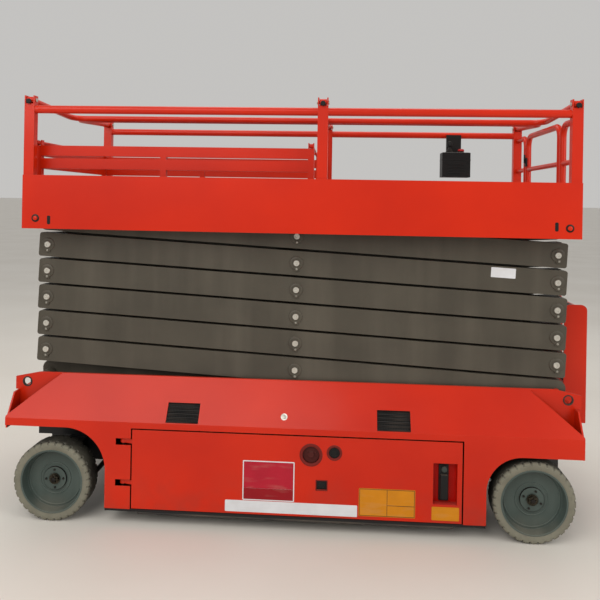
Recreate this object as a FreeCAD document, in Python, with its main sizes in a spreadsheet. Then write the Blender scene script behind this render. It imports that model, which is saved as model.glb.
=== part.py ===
# Self-propelled scissor lift, parked with its stack down and its top rails folded flat.
# Millimetres. X runs along the machine, the steered axle at -X and the ladder end at +X.
# Y runs across it, the near side at -Y. Z is up from the floor. The pieces are drawn with
# the middle of the wheelbase at 0 and then moved along X, so that the origin is on the floor
# under the middle of the whole machine.
import FreeCAD, Part
import Sketcher
import math
import os

os.makedirs("parts", exist_ok=True)
doc = FreeCAD.newDocument("scissor_lift")

# Driving dimensions: name, value, what it is
DIMENSIONS = [
    ("wheel_radius", 190.5, "tyre outside radius"),
    ("tyre_wide", 127, "tyre width"),
    ("tyre_bore", 154, "radius where the solid tyre meets its rim"),
    ("tyre_shoulder", 14, "rounding of the tyre's edges"),
    ("rim_wall", 8, "thickness of the rim's barrel"),
    ("rim_dish", 55, "depth of the wheel disc below the outer tyre face"),
    ("disc_thick", 12, "thickness of the wheel disc"),
    ("hub_radius", 58, "radius of the hub flange"),
    ("hub_depth", 40, "length of the hub behind the disc"),
    ("axle_radius", 24, "stub axle radius"),
    ("pin_gap", 0.4, "running clearance round pins and shafts"),
    ("seat_gap", 0.3, "clearance where a moving piece lies on its seat"),
    ("half_base", 1150, "half of the wheelbase"),
    ("wheel_inset", 5, "tyre's outer face inside the chassis side"),
    ("body_half", 600, "half of the chassis width"),
    ("body_front", 1382, "front end of the side covers"),
    ("body_back", 1372, "back end of the side covers"),
    ("cover_sheet", 6, "thickness of the side covers"),
    ("cover_drop", 12, "height of the cut edge of the sloped sheet"),
    ("sill_low", 80, "bottom edge of the side panels"),
    ("fold_height", 497, "height of the fold between side and slope"),
    ("cover_top", 690, "height of the slope's top edge"),
    ("slope_deep", 133, "width of the covers' slope"),
    ("wall_thick", 10, "thickness of those walls"),
    ("lug_out", 13, "how far the lugs stand out past the covers"),
    ("lug_slope", 125, "length of the lug's falling top edge"),
    ("lug_drop", 26, "fall of that edge"),
    ("lug_low", 600, "underside of the lug beyond the covers"),
    ("lug_hole", 20, "radius of the lifting and tie-down holes"),
    ("lug_hole_in", 60, "distance of those holes from the lugs' tips"),
    ("lug_hole_z", 640, "height of those holes"),
    ("miter_rise", 112, "height of the slope's mitred end"),
    ("miter_run", 136, "length of the slope's mitred end"),
    ("arch_front_run", 267, "from the steered wheel's centre to the edge of its arch"),
    ("arch_front_top", 460, "top of the steered wheel's arch"),
    ("arch_front_round", 200, "corner radius of that arch"),
    ("arch_back_run", 222, "from the back wheel's centre to the edge of its arch"),
    ("arch_back_top", 403, "top of the back wheel's arch"),
    ("arch_back_round", 165, "corner radius of that arch"),
    ("door_front", 751, "front edge of the swing-out door"),
    ("door_back", 816, "back edge of the swing-out door"),
    ("door_low", 84, "bottom edge of the door"),
    ("door_top", 461, "top edge of the door"),
    ("door_gap", 7, "gap round the door"),
    ("door_sheet", 8, "thickness of the door"),
    ("web_half", 243, "outside of the chassis spine"),
    ("web_thick", 8, "thickness of the spine's webs"),
    ("spine_low", 150, "underside of the spine between the wheels"),
    ("spine_high", 300, "underside of the spine over the axles"),
    ("plate", 8, "thickness of the chassis plates"),
    ("shelf_gap", 5, "clearance between the shelf's edge and the side cover"),
    ("shelf_low", 488, "underside of the shelf over the trays"),
    ("bed_top", 600, "top of the plate under the stack"),
    ("end_back_low", 400, "bottom edge of the back end plate"),
    ("end_front_low", 446, "bottom edge of the front end plate"),
    ("sill_inset", 8, "sill bars inside the chassis side"),
    ("sill_deep", 32, "width of the sill bars"),
    ("sill_floor", 66, "underside of the sill bars"),
    ("sill_high", 12, "height of the sill bars"),
    ("hinge_run", 49, "door hinge axis in front of the door"),
    ("hinge_in", 30, "door hinge axis inside the chassis side"),
    ("hinge_pin", 8, "radius of the door's hinge post"),
    ("hinge_ring", 16, "radius of the door's hinge knuckle"),
    ("hinge_high", 20, "height of a hinge arm"),
    ("hinge_low_z", 195, "underside of the lower hinge arm"),
    ("hinge_top_z", 392, "underside of the upper hinge arm"),
    ("tray_short", 16, "tray's front end behind the door's front edge"),
    ("tray_cut", 46, "tray's back end in front of the door's back edge"),
    ("tray_gap", 19, "clearance between the tray and the spine"),
    ("tray_floor", 92, "underside of the tray"),
    ("tray_side", 70, "height of the tray's edge"),
    ("battery_long", 300, "length of a battery block"),
    ("cell_gap", 12, "clearance between the tray's inner edge and its load"),
    ("cell_out", 68, "clearance between that load and the door"),
    ("battery_high", 270, "height of a battery block"),
    ("battery_pitch", 330, "spacing of the battery blocks"),
    ("guard_wide", 46, "width of a pothole guard"),
    ("guard_thick", 6, "thickness of a pothole guard"),
    ("guard_front", 720, "front end of a pothole guard"),
    ("guard_back", 780, "back end of a pothole guard"),
    ("guard_barrel", 5.7, "radius of a pothole guard's hinge barrel"),
    ("beam", 90, "side of the axle beams"),
    ("beam_back_low", 146, "underside of the back axle beam"),
    ("beam_front_low", 222, "underside of the front axle beam"),
    ("beam_front_high", 72, "height of the front axle beam"),
    ("king_in", 170, "distance of the kingpins inside the tyres' outer faces"),
    ("king_pin", 22, "kingpin radius"),
    ("king_eye", 34, "radius of the eye round the kingpin"),
    ("king_low", 158, "underside of the knuckle"),
    ("steer_arm", 120, "length of the steering arm"),
    ("steer_arm_high", 16, "thickness of the steering arm"),
    ("tie_radius", 13, "tie rod radius"),
    ("tie_pin", 8, "radius of the pins at the tie rod's ends"),
    ("arm_len", 2537, "distance between an arm's end pins"),
    ("pitch", 132.6, "height from one pivot to the next when folded"),
    ("arm_deep", 120, "depth of an arm"),
    ("arm_wide", 60, "width of an arm"),
    ("arm_over", 45, "how far an arm runs past its end pins"),
    ("arm_round", 40, "corner radius of an arm's end by the bed or the deck"),
    ("arm_corner", 12, "corner radius of its other end"),
    ("stack_in", 82, "inner face of the outer arms inside the side walls"),
    ("layer_gap", 10, "gap between outer and inner arms"),
    ("pin_radius", 20, "radius of the stack's pins"),
    ("pin_head", 7, "how far the pins stand out of the outer arms"),
    ("pivot_in", 90, "fixed pivot line inside the covers' back end"),
    ("base_z", 669, "height of the lowest pivots"),
    ("cross_radius", 32, "radius of the tubes between inner arms"),
    ("cross_in", 215, "distance of those tubes from the end pins"),
    ("roller_radius", 25, "radius of the sliding rollers"),
    ("track_front", 1330, "front end of the slide tracks"),
    ("track_back", 370, "back end of the slide tracks"),
    ("foot_at", 550, "cylinder foot, from the arm's middle pin"),
    ("eye_at", 450, "cylinder rod eye, from the arm's middle pin"),
    ("anchor_radius", 24, "radius of the shafts that carry a cylinder"),
    ("barrel_radius", 45, "cylinder barrel radius"),
    ("barrel_len", 760, "length of a cylinder barrel from its foot pin"),
    ("barrel_bore", 31, "bore of a cylinder barrel"),
    ("rod_radius", 30, "cylinder rod radius"),
    ("rod_in", 640, "length of rod inside and past the gland"),
    ("eye_radius", 44, "radius of the cylinder's eyes"),
    ("eye_wide", 70, "width of the cylinder's eyes"),
    ("deck_rise", 67, "deck plate above the top pivots"),
    ("deck_sheet", 6, "thickness of the deck plate"),
    ("deck_short_front", 57, "platform's front end inside the covers' front end"),
    ("deck_short_back", 23, "platform's back end inside the covers' back end"),
    ("panel_inset", 20, "platform panels inside the chassis side"),
    ("panel_thick", 8, "thickness of the side panels"),
    ("panel_low", 1418, "bottom edge of the side panels"),
    ("panel_top", 1680, "top edge of the side panels"),
    ("beam_wide", 60, "width of the deck beams"),
    ("beam_inset", 20, "deck beams inside the panels"),
    ("post_wide", 50, "width of the guard posts along X"),
    ("post_deep", 40, "depth of the guard posts"),
    ("post_mid", 138, "middle guard post"),
    ("post_top", 2030, "top of the guard posts"),
    ("head_top", 2069, "top of the hinge brackets"),
    ("head_thick", 6, "thickness of a bracket plate"),
    ("rail_radius", 19.5, "radius of the fixed rail"),
    ("rail_z", 2003, "height of the fixed rail"),
    ("frame_radius", 16, "radius of the folding frame's tube"),
    ("frame_z", 2048, "height of the folding frame's hinge"),
    ("frame_drop", 27, "folded top frames lower in the middle than at their hinges"),
    ("frame_gap", 24, "from the folded frames' free rails to the middle"),
    ("frame_round", 70, "bend radius of the folding frame"),
    ("frame_pin", 8, "radius of the folding frame's hinge pins"),
    ("gate_half", 320, "half width of the gate opening"),
    ("gate_in", 20, "line of the gate and back rails inside the deck's end"),
    ("gate_low", 1590, "bottom tube of the gate"),
    ("gate_top", 1975, "top tube of the gate"),
    ("gate_round", 60, "bend radius of gate and back rails"),
    ("ext_inset", 100, "extension deck inside the panels"),
    ("ext_short", 13, "extension's front end behind the deck's front end"),
    ("ext_back", 100, "back end of the extension deck"),
    ("ext_post", 30, "thickness of the extension's posts"),
    ("ext_bar_low", 1716, "underside of the lower guard bar of the extension"),
    ("ext_bar_deep", 52, "height of the extension's guard bars"),
    ("ext_bar_gap", 12, "gap between the extension bars"),
    ("ext_frame_rise", 13, "extension frames' hinge line above the guard bars"),
    ("ext_frame_gap", 25, "from the extension frames' free rails to the middle"),
    ("ext_frame_radius", 13, "radius of its tube"),
    ("ladder_half", 200, "distance of the ladder's sides from the middle"),
    ("ladder_side", 10, "thickness of the ladder's sides"),
    ("ladder_out", 23, "front edge of the ladder behind the covers"),
    ("ladder_deep", 115, "width of the ladder's sides"),
    ("ladder_low", 450, "bottom of the ladder"),
    ("ladder_top", 1060, "top of the ladder"),
    ("ladder_pitch", 190, "spacing of the treads"),
    ("tread_thick", 8, "thickness of a tread"),
    ("box_x", 840, "front side of the control box"),
    ("box_inset", 180, "inner side of the control box inside the panel"),
    ("box_z", 1735, "underside of the control box"),
    ("box_long", 170, "length of the control box"),
    ("box_deep", 110, "depth of the control box"),
    ("box_high", 150, "height of the control box"),
    ("rim_lip", 4, "rim's edge below the tyre's faces"),
    ("hub_step", 8, "height of the hub flange above the wheel disc"),
    ("hub_slim", 12, "hub barrel smaller than its flange"),
    ("vent_front_x", -591, "front edge of the front vent"),
    ("vent_back_x", 419, "front edge of the back vent"),
    ("vent_long", 157, "length of a vent"),
    ("vent_low", 500, "bottom edge of a vent"),
    ("vent_high", 82, "height of a vent"),
    ("port_x", 110, "large port in the door"),
    ("port_z", 376, "height of that port"),
    ("port_radius", 45, "its radius"),
    ("valve_x", 220, "small port in the door"),
    ("valve_z", 390, "height of that port"),
    ("valve_radius", 31, "its radius"),
    ("socket_x", 138, "front edge of the socket's window"),
    ("socket_z", 214, "bottom edge of the socket's window"),
    ("socket_long", 48, "length of that window"),
    ("socket_high", 42, "height of that window"),
    ("latch_x", 682, "front edge of the latch recess"),
    ("latch_z", 169, "bottom edge of the latch recess"),
    ("latch_long", 112, "length of the latch recess"),
    ("latch_high", 193, "height of the latch recess"),
    ("cup_deep", 34, "depth of the recesses behind the door"),
    ("cup_wall", 3, "sheet of the recesses"),
    ("skirt_deep", 60, "width of the skirts from the door hinge line"),
    ("pedestal_out", 20, "pedestals proud of the spine's webs"),
    ("ear_thick", 12, "thickness of the base ears"),
    ("ear_gap", 6, "clearance between ear and arm"),
    ("ear_foot", 60, "half length of an ear's foot"),
    ("ear_head", 34, "half length of an ear's head"),
    ("ear_over", 40, "ear above its pin"),
    ("cap_rim", 8, "kingpin cap larger than the pin"),
    ("cap_high", 12, "thickness of the kingpin's cap"),
    ("king_gap", 1, "clearance between knuckle, axle eye and cap"),
    ("arm_flare", 22, "half width of the steering arm at the kingpin"),
    ("arm_tip", 16, "half width of the steering arm at the tie rod"),
    ("tie_drop", 34, "length of the tie rod's pins"),
    ("tie_low", 18, "tie rod below the knuckles"),
    ("tie_eye", 20, "radius of the tie rod's eyes"),
    ("tie_eye_high", 28, "height of those eyes"),
    ("neck_wide", 10, "half width of a door hinge arm"),
    ("neck_back", 40, "run of a door hinge arm along the door"),
    ("tray_sheet", 5, "thickness of the tray's sheet"),
    ("tank_front", 560, "front end of the oil tank"),
    ("tank_back", 40, "back end of the oil tank"),
    ("pump_front", 120, "front end of the pump unit"),
    ("pump_back", 520, "back end of the pump unit"),
    ("pump_high", 200, "height of the pump unit"),
    ("rail_gap", 6, "roller rails clear of the outer arms"),
    ("ear_in", 18, "inner deck ear inside the inner arm"),
    ("deck_ear_thick", 12, "thickness of the inner deck ears"),
    ("deck_ear_thin", 5, "thickness of the outer deck ears"),
    ("deck_ear_gap", 3, "clearance of the outer deck ears"),
    ("deck_ear_low", 34, "deck ears below their pins"),
    ("deck_lip", 40, "depth of the deck's front lip"),
    ("beam_drop", 14, "deck beams above the panels' bottom edge"),
    ("rib_high", 30, "depth of the ribs under the deck"),
    ("rib_wide", 50, "width of the ribs under the deck"),
    ("rib_first", 300, "first rib in front of the middle"),
    ("rib_pitch", 350, "spacing of the ribs"),
    ("eye_long", 34, "length of the folding frame's hinge eyes"),
    ("strut_slim", 3, "cross tubes thinner than the frame's tube"),
    ("back_rail_drop", 30, "back rails below the side rails"),
    ("gate_gap", 6, "clearance between gate and back rail"),
    ("gate_side_gap", 8, "clearance on the gate's inner side"),
    ("gate_hinge_high", 40, "height of a gate hinge"),
    ("gate_hinge_wide", 16, "width of a gate hinge"),
    ("gate_hinge_long", 26, "length of a gate hinge"),
    ("gate_hinge_gap", 0.3, "clearance between gate hinge and back rail"),
    ("gate_hinge_low", 60, "lower gate hinge above the bottom tube"),
    ("gate_hinge_top", 120, "upper gate hinge below the top tube"),
    ("ext_sheet", 6, "thickness of the extension's sheet and runners"),
    ("runner_wide", 20, "width of the extension's runners"),
    ("ext_post_in", 20, "extension's end posts inside its ends"),
    ("ext_bar_thick", 24, "thickness of the extension's side bars"),
    ("ext_head_thick", 5, "thickness of the extension's hinge brackets"),
    ("ext_head_gap", 9.5, "inside of those brackets from the post's middle"),
    ("ext_head_over", 14, "brackets above their pins"),
    ("ext_pin", 6, "radius of the extension's hinge pins"),
    ("ext_eye_long", 18, "length of the extension frame's hinge eyes"),
    ("ext_eye_slim", 2, "hinge eyes thinner than the bracket's round"),
    ("ext_tube_slim", 4, "extension frame's tube thinner than that round"),
    ("toe_thick", 8, "thickness of the extension's toe board"),
    ("toe_high", 120, "height of the extension's toe board"),
    ("ext_front_deep", 20, "depth of the extension's front bars"),
    ("ext_front_in", 10, "front bars inside the extension's sides"),
    ("ladder_round", 30, "corner radius of the ladder's sides"),
    ("tread_first", 6, "lowest tread above the ladder's bottom"),
    ("tread_in", 2, "treads inside the ladder's outer faces"),
    ("hanger_in", 40, "hanger inside the control box's ends"),
    ("hanger_up", 20, "hanger above the control box's underside"),
    ("stick_in", 50, "joystick from the control box's corner"),
    ("stick_radius", 9, "joystick radius"),
    ("stick_high", 55, "joystick height"),
    ("stop_x", 120, "stop button from the control box's front side"),
    ("stop_radius", 18, "stop button radius"),
    ("stop_high", 22, "stop button height"),
    ("miter_low", 505, "foot of the slope's mitred end"),
    ("miter_top_run", 245, "length of the mitre at the slope's top"),
    ("slot_run", 32, "hinge slots in front of the hinge axis"),
    ("slot_gap", 6, "hinge slots above and below the hinge arms"),
    ("stub_out", 14, "stub axles past the wheel discs"),
    ("gland_over", 16, "cylinder gland past the barrel's end"),
    ("gland_rim", 7, "gland proud of the barrel"),
    ("gland_long", 46, "length of the gland"),
    ("eye_rim", 1, "hinge eyes proud of the folding frame's tube"),
]

sheet = doc.addObject("Spreadsheet::Sheet", "Sizes")
for line, (alias, value, meaning) in enumerate(DIMENSIONS, start=1):
    sheet.set("A%d" % line, meaning)
    sheet.set("B%d" % line, str(value))
    sheet.setAlias("B%d" % line, alias)
doc.recompute()


# A length that carries both its value and the expression that binds it to the sheet
class Length:
    def __init__(self, value, text):
        self.value = value
        self.text = text

    def __add__(self, other):
        other = length(other)
        return Length(self.value + other.value, "(%s + %s)" % (self.text, other.text))

    def __radd__(self, other):
        return length(other) + self

    def __sub__(self, other):
        other = length(other)
        return Length(self.value - other.value, "(%s - %s)" % (self.text, other.text))

    def __rsub__(self, other):
        return length(other) - self

    def __mul__(self, other):
        other = length(other)
        return Length(self.value * other.value, "(%s * %s)" % (self.text, other.text))

    def __rmul__(self, other):
        return length(other) * self

    def __truediv__(self, other):
        other = length(other)
        return Length(self.value / other.value, "(%s / %s)" % (self.text, other.text))

    def __neg__(self):
        return Length(-self.value, "(-%s)" % self.text)


def length(thing):
    return thing if isinstance(thing, Length) else Length(float(thing), "(%r)" % float(thing))


class Sizes:
    def __getattr__(self, alias):
        return Length(float(sheet.get(alias)), "Sizes.%s" % alias)


s = Sizes()
SUBPARTS = []
PLACED = {}
LINE_UP = 1e-6

# Places that follow from the driving dimensions
wall_half = s.body_half - s.slope_deep
sill_half = s.body_half - s.sill_inset
hinge_x = s.door_front + s.hinge_run
hinge_y = s.body_half - s.hinge_in
wheel_out = s.body_half - s.wheel_inset
king_half = wheel_out - s.king_in
outer_in = wall_half - s.stack_in
panel_half = s.body_half - s.panel_inset
beam_out = panel_half - s.beam_inset
beam_in = beam_out - s.beam_wide
lug_reach = s.body_front + s.lug_out
lug_hole_x = lug_reach - s.lug_hole_in
base_x = s.body_back - s.pivot_in
arch_front = s.half_base - s.arch_front_run
arch_back = s.half_base - s.arch_back_run
tray_front = s.door_front - s.tray_short
tray_back = s.door_back - s.tray_cut
tray_in = s.web_half + s.tray_gap
deck_front = s.body_front - s.deck_short_front
deck_back = s.body_back - s.deck_short_back
gate_x = deck_back - s.gate_in
ext_half = panel_half - s.ext_inset
ext_front = deck_front - s.ext_short
ladder_front = s.body_back + s.ladder_out
ladder_back = ladder_front + s.ladder_deep
box_y = panel_half - s.box_inset


def bind(thing, **sizes):
    for prop, size in sizes.items():
        thing.setExpression(prop.replace("__", "."), length(size).text)


def place(thing, at):
    PLACED[thing.Name] = length(at[0])
    for axis, size in zip("xyz", at):
        thing.setExpression("Placement.Base.%s" % axis, length(size).text)


# A finished sub-part. All of them move along X so that the whole machine's middle is at 0
def node(thing, name):
    thing.Label = name
    shifted = PLACED.get(thing.Name, length(0)) - (ladder_back - lug_reach) / 2
    thing.setExpression("Placement.Base.x", shifted.text)
    SUBPARTS.append(thing)
    return thing


# A box from its lowest corner
def block(name, corner, sides):
    box = doc.addObject("Part::Box", name)
    bind(box, Length=sides[0], Width=sides[1], Height=sides[2])
    place(box, corner)
    return box


# A box that spans y from low to high on one side of the machine: side is -1 near, 1 far
def side_block(name, side, x, y, z):
    low = y[0] if side > 0 else -length(y[1])
    return block(name, (x[0], low, z[0]), (x[1] - length(x[0]), y[1] - length(y[0]), z[1] - length(z[0])))


TURNS = {
    "x": FreeCAD.Rotation(FreeCAD.Vector(0, 1, 0), 90),
    "y": FreeCAD.Rotation(FreeCAD.Vector(1, 0, 0), -90),
    "z": FreeCAD.Rotation(),
}


# A round bar that starts at a point and runs along +x, +y or +z
def bar(name, start, axis, radius, run):
    rod = doc.addObject("Part::Cylinder", name)
    rod.Placement.Rotation = TURNS[axis]
    bind(rod, Radius=radius, Height=run)
    place(rod, start)
    return rod


# A round bar across one side, from y low to y high
def side_bar(name, side, x, y, z, radius):
    low = y[0] if side > 0 else -length(y[1])
    return bar(name, (x, low, z), "y", radius, y[1] - length(y[0]))


def fuse(name, pieces):
    whole = doc.addObject("Part::MultiFuse", name)
    whole.Shapes = pieces
    whole.Refine = True
    return whole


def cut(name, base, tool):
    left = doc.addObject("Part::Cut", name)
    left.Base = base
    left.Tool = tool
    left.Refine = True
    return left


def group(name, pieces):
    whole = doc.addObject("Part::Compound", name)
    whole.Links = pieces
    return whole


# Draws lines between corners (u, v) or, where two square lines meet, (u, v, rounding).
# Every line and every corner is tied to the sheet.
def draw(sketch, corners, closed=True):
    points = [(length(c[0]), length(c[1]), length(c[2]) if len(c) > 2 else None) for c in corners]
    count = len(points)
    spans = [(i, (i + 1) % count) for i in range(count if closed else count - 1)]
    ends = []
    for i, j in spans:
        a = FreeCAD.Vector(points[i][0].value, points[i][1].value, 0)
        b = FreeCAD.Vector(points[j][0].value, points[j][1].value, 0)
        way = (b - a).normalize()
        if points[i][2]:
            a = a + way * points[i][2].value
        if points[j][2]:
            b = b - way * points[j][2].value
        ends.append((a, b))
    lines = [sketch.addGeometry(Part.LineSegment(a, b)) for a, b in ends]
    kinds = []
    for line, (i, j) in zip(lines, spans):
        if abs(points[i][0].value - points[j][0].value) < LINE_UP:
            kinds.append("upright")
            sketch.addConstraint(Sketcher.Constraint("Vertical", line))
            pin_to(sketch, "DistanceX", line, 1, points[i][0])
        elif abs(points[i][1].value - points[j][1].value) < LINE_UP:
            kinds.append("level")
            sketch.addConstraint(Sketcher.Constraint("Horizontal", line))
            pin_to(sketch, "DistanceY", line, 1, points[i][1])
        else:
            kinds.append("slanted")
    for k, point in enumerate(points):
        before = [n for n, (i, j) in enumerate(spans) if j == k]
        after = [n for n, (i, j) in enumerate(spans) if i == k]
        if point[2] and before and after:
            round_corner(sketch, lines[before[0]], lines[after[0]], ends[before[0]], ends[after[0]], point[2])
            continue
        touching = [kinds[n] for n in before + after]
        line, end = (lines[before[0]], 2) if before else (lines[after[0]], 1)
        if before and after:
            sketch.addConstraint(Sketcher.Constraint("Coincident", lines[before[0]], 2, lines[after[0]], 1))
        if "upright" not in touching:
            pin_to(sketch, "DistanceX", line, end, point[0])
        if "level" not in touching:
            pin_to(sketch, "DistanceY", line, end, point[1])


def pin_to(sketch, kind, line, end, size):
    index = sketch.addConstraint(Sketcher.Constraint(kind, -1, 1, line, end, size.value))
    sketch.setExpression("Constraints[%d]" % index, size.text)


def round_corner(sketch, first, second, first_ends, second_ends, rounding):
    start, stop = first_ends[1], second_ends[0]
    inward = (first_ends[0] - first_ends[1]).normalize() * rounding.value
    centre = stop + inward
    a = math.atan2(start.y - centre.y, start.x - centre.x)
    b = math.atan2(stop.y - centre.y, stop.x - centre.x)
    left_turn = (start - first_ends[0]).cross(second_ends[1] - stop).z > 0
    if not left_turn:
        a, b = b, a
    circle = Part.Circle(centre, FreeCAD.Vector(0, 0, 1), rounding.value)
    arc = sketch.addGeometry(Part.ArcOfCircle(circle, a, b))
    head, tail = (1, 2) if left_turn else (2, 1)
    sketch.addConstraint(Sketcher.Constraint("Tangent", first, 2, arc, head))
    sketch.addConstraint(Sketcher.Constraint("Tangent", second, 1, arc, tail))
    index = sketch.addConstraint(Sketcher.Constraint("Radius", arc, rounding.value))
    sketch.setExpression("Constraints[%d]" % index, rounding.text)


def hole(sketch, centre, radius):
    u, v, radius = length(centre[0]), length(centre[1]), length(radius)
    circle = Part.Circle(FreeCAD.Vector(u.value, v.value, 0), FreeCAD.Vector(0, 0, 1), radius.value)
    ring = sketch.addGeometry(circle)
    pin_to(sketch, "DistanceX", ring, 3, u)
    pin_to(sketch, "DistanceY", ring, 3, v)
    index = sketch.addConstraint(Sketcher.Constraint("Radius", ring, radius.value))
    sketch.setExpression("Constraints[%d]" % index, radius.text)


# A flat piece: an outline on the XY, XZ or YZ plane, from `start` to `stop` across it
def plate(name, plane, corners, start, stop, holes=()):
    body = doc.addObject("PartDesign::Body", name)
    sketch = body.newObject("Sketcher::SketchObject", name + "_outline")
    base = [f for f in body.Origin.OriginFeatures if f.Role == plane + "_Plane"][0]
    sketch.AttachmentSupport = [(base, "")]
    sketch.MapMode = "FlatFace"
    start, stop = length(start), length(stop)
    level = -stop if plane == "XZ" else start
    sketch.setExpression("AttachmentOffset.Base.z", level.text)
    draw(sketch, corners)
    for centre_u, centre_v, radius in holes:
        hole(sketch, (centre_u, centre_v), radius)
    pad = body.newObject("PartDesign::Pad", name + "_pad")
    pad.Profile = sketch
    bind(pad, Length=stop - start)
    return body


# A flat piece on one side, spanning y from low to high
def side_plate(name, side, corners, low, high, holes=()):
    start, stop = (length(low), length(high)) if side > 0 else (-length(high), -length(low))
    return plate(name, "XZ", corners, start, stop, holes)


# A turned piece: an outline in (y, radius) round the Y axis, moved to its place
def turned(name, corners, at):
    body = doc.addObject("PartDesign::Body", name)
    sketch = body.newObject("Sketcher::SketchObject", name + "_outline")
    base = [f for f in body.Origin.OriginFeatures if f.Role == "YZ_Plane"][0]
    sketch.AttachmentSupport = [(base, "")]
    sketch.MapMode = "FlatFace"
    draw(sketch, corners)
    spin = body.newObject("PartDesign::Revolution", name + "_spin")
    spin.Profile = sketch
    spin.ReferenceAxis = (sketch, ["H_Axis"])
    spin.Angle = 360
    place(body, at)
    return body


# A bent tube: a path on a plane at `level`, swept by a round section at its first end
def bent_tube(name, plane, corners, level, radius):
    path = doc.addObject("Sketcher::SketchObject", name + "_path")
    turns = {
        "XY": FreeCAD.Rotation(),
        "XZ": FreeCAD.Rotation(FreeCAD.Vector(1, 0, 0), 90),
        "YZ": FreeCAD.Rotation(0.5, 0.5, 0.5, 0.5),
    }
    path.Placement.Rotation = turns[plane]
    draw(path, corners, closed=False)
    level = length(level)
    section = doc.addObject("Part::Circle", name + "_section")
    bind(section, Radius=radius)
    first, second = corners[0], corners[1]
    level_start = abs(length(first[1]).value - length(second[1]).value) < LINE_UP
    u, v = length(first[0]), length(first[1])
    if plane == "XY":
        path.setExpression("Placement.Base.z", level.text)
        section.Placement.Rotation = TURNS["x" if level_start else "y"]
        place(section, (u, v, level))
    elif plane == "XZ":
        path.setExpression("Placement.Base.y", level.text)
        section.Placement.Rotation = TURNS["x" if level_start else "z"]
        place(section, (u, level, v))
    else:
        path.setExpression("Placement.Base.x", level.text)
        section.Placement.Rotation = TURNS["y" if level_start else "z"]
        place(section, (level, u, v))
    doc.recompute()
    sweep = doc.addObject("Part::Sweep", name)
    sweep.Sections = [section]
    sweep.Spine = (path, ["Edge%d" % (i + 1) for i in range(len(path.Shape.Edges))])
    sweep.Solid = True
    sweep.Frenet = False
    return sweep


SIDES = [("near", -1), ("far", 1)]
ENDS = [("front", -1), ("back", 1)]

# Solid tyres, grey and wide, pressed on dished rims
wheel_y = wheel_out - s.tyre_wide / 2
half_tyre = s.tyre_wide / 2
hub_bore = s.axle_radius + s.pin_gap
for end_name, end in ENDS:
    for side_name, side in SIDES:
        centre = (end * s.half_base, side * wheel_y, s.wheel_radius)
        tyre = turned("tyre_%s_%s" % (end_name, side_name), [
            (-half_tyre, s.tyre_bore),
            (half_tyre, s.tyre_bore),
            (half_tyre, s.wheel_radius, s.tyre_shoulder),
            (-half_tyre, s.wheel_radius, s.tyre_shoulder),
        ], centre)
        node(tyre, "tyre_%s_%s" % (end_name, side_name))
        rim_low = s.tyre_bore - s.rim_wall
        lip = half_tyre - s.rim_lip
        disc = half_tyre - s.rim_dish
        behind = disc - s.disc_thick
        rim = turned("rim_%s_%s" % (end_name, side_name), [
            (-side * lip, s.tyre_bore),
            (side * lip, s.tyre_bore),
            (side * lip, rim_low),
            (side * disc, rim_low - s.rim_wall / 2),
            (side * disc, s.hub_radius),
            (side * (disc + s.hub_step), s.hub_radius - s.rim_lip),
            (side * (disc + s.hub_step), hub_bore),
            (side * (behind - s.hub_depth), hub_bore),
            (side * (behind - s.hub_depth), s.hub_radius - s.hub_slim),
            (side * behind, s.hub_radius - s.hub_slim),
            (side * behind, rim_low),
            (-side * lip, rim_low),
        ], centre)
        node(rim, "rim_%s_%s" % (end_name, side_name))

# Chassis spine: two webs, floor, bed plate under the stack, shelves over the trays, end
# plates, bulkheads in front of and behind the trays, sills and door hinge posts
web_in = s.web_half - s.web_thick
skin_in = s.body_half - s.cover_sheet
end_front = s.body_front - s.plate
end_back = s.body_back - s.plate
bed_half = wall_half - s.wall_thick
spine = []
for side_name, side in SIDES:
    spine.append(side_plate("web_" + side_name, side, [
        (-end_front, s.spine_high),
        (-arch_front, s.spine_high),
        (-arch_front, s.spine_low),
        (arch_back, s.spine_low),
        (arch_back, s.spine_high),
        (end_back, s.spine_high),
        (end_back, s.bed_top),
        (-end_front, s.bed_top),
    ], web_in, s.web_half))
    spine.append(side_block("shelf_" + side_name, side, (-end_front, end_back),
                            (web_in, skin_in - s.shelf_gap), (s.shelf_low, s.shelf_low + s.plate)))
    for end_name, x in [("front", -arch_front), ("back", arch_back - s.plate)]:
        spine.append(side_block("bulkhead_%s_%s" % (end_name, side_name), side, (x, x + s.plate),
                                (web_in, skin_in), (s.spine_low, s.shelf_low)))
        spine.append(side_block("skirt_%s_%s" % (end_name, side_name), side, (x, x + s.plate),
                                (skin_in - s.skirt_deep, skin_in), (s.sill_floor, s.spine_low)))
    sill_z = (s.sill_floor, s.sill_floor + s.sill_high)
    spine.append(side_block("sill_" + side_name, side, (-arch_front, arch_back),
                            (sill_half - s.sill_deep, sill_half), sill_z))
    spine.append(bar("hinge_post_" + side_name, (-hinge_x, side * hinge_y, s.sill_floor), "z",
                     s.hinge_pin, s.shelf_low - s.sill_floor))
spine.append(block("spine_floor", (-arch_front, -web_in, s.spine_low),
                   (arch_front + arch_back, 2 * web_in, s.plate)))
spine.append(block("bed", (-end_front, -bed_half, s.bed_top - s.plate),
                   (end_front + end_back, 2 * bed_half, s.plate)))
slope_run = (s.body_half - wall_half) / (s.cover_top - s.fold_height)
for end_name, start, low in [("front", -s.body_front, s.end_front_low), ("back", end_back, s.end_back_low)]:
    top_half = skin_in - s.shelf_gap - slope_run * (s.bed_top - s.fold_height)
    fold = s.fold_height - s.cover_drop
    spine.append(plate("end_plate_" + end_name, "YZ", [
        (-skin_in, low), (skin_in, low), (skin_in, fold), (top_half, s.bed_top),
        (-top_half, s.bed_top), (-skin_in, fold),
    ], start, start + s.plate))
front_beam_top = s.beam_front_low + s.beam_front_high
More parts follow.
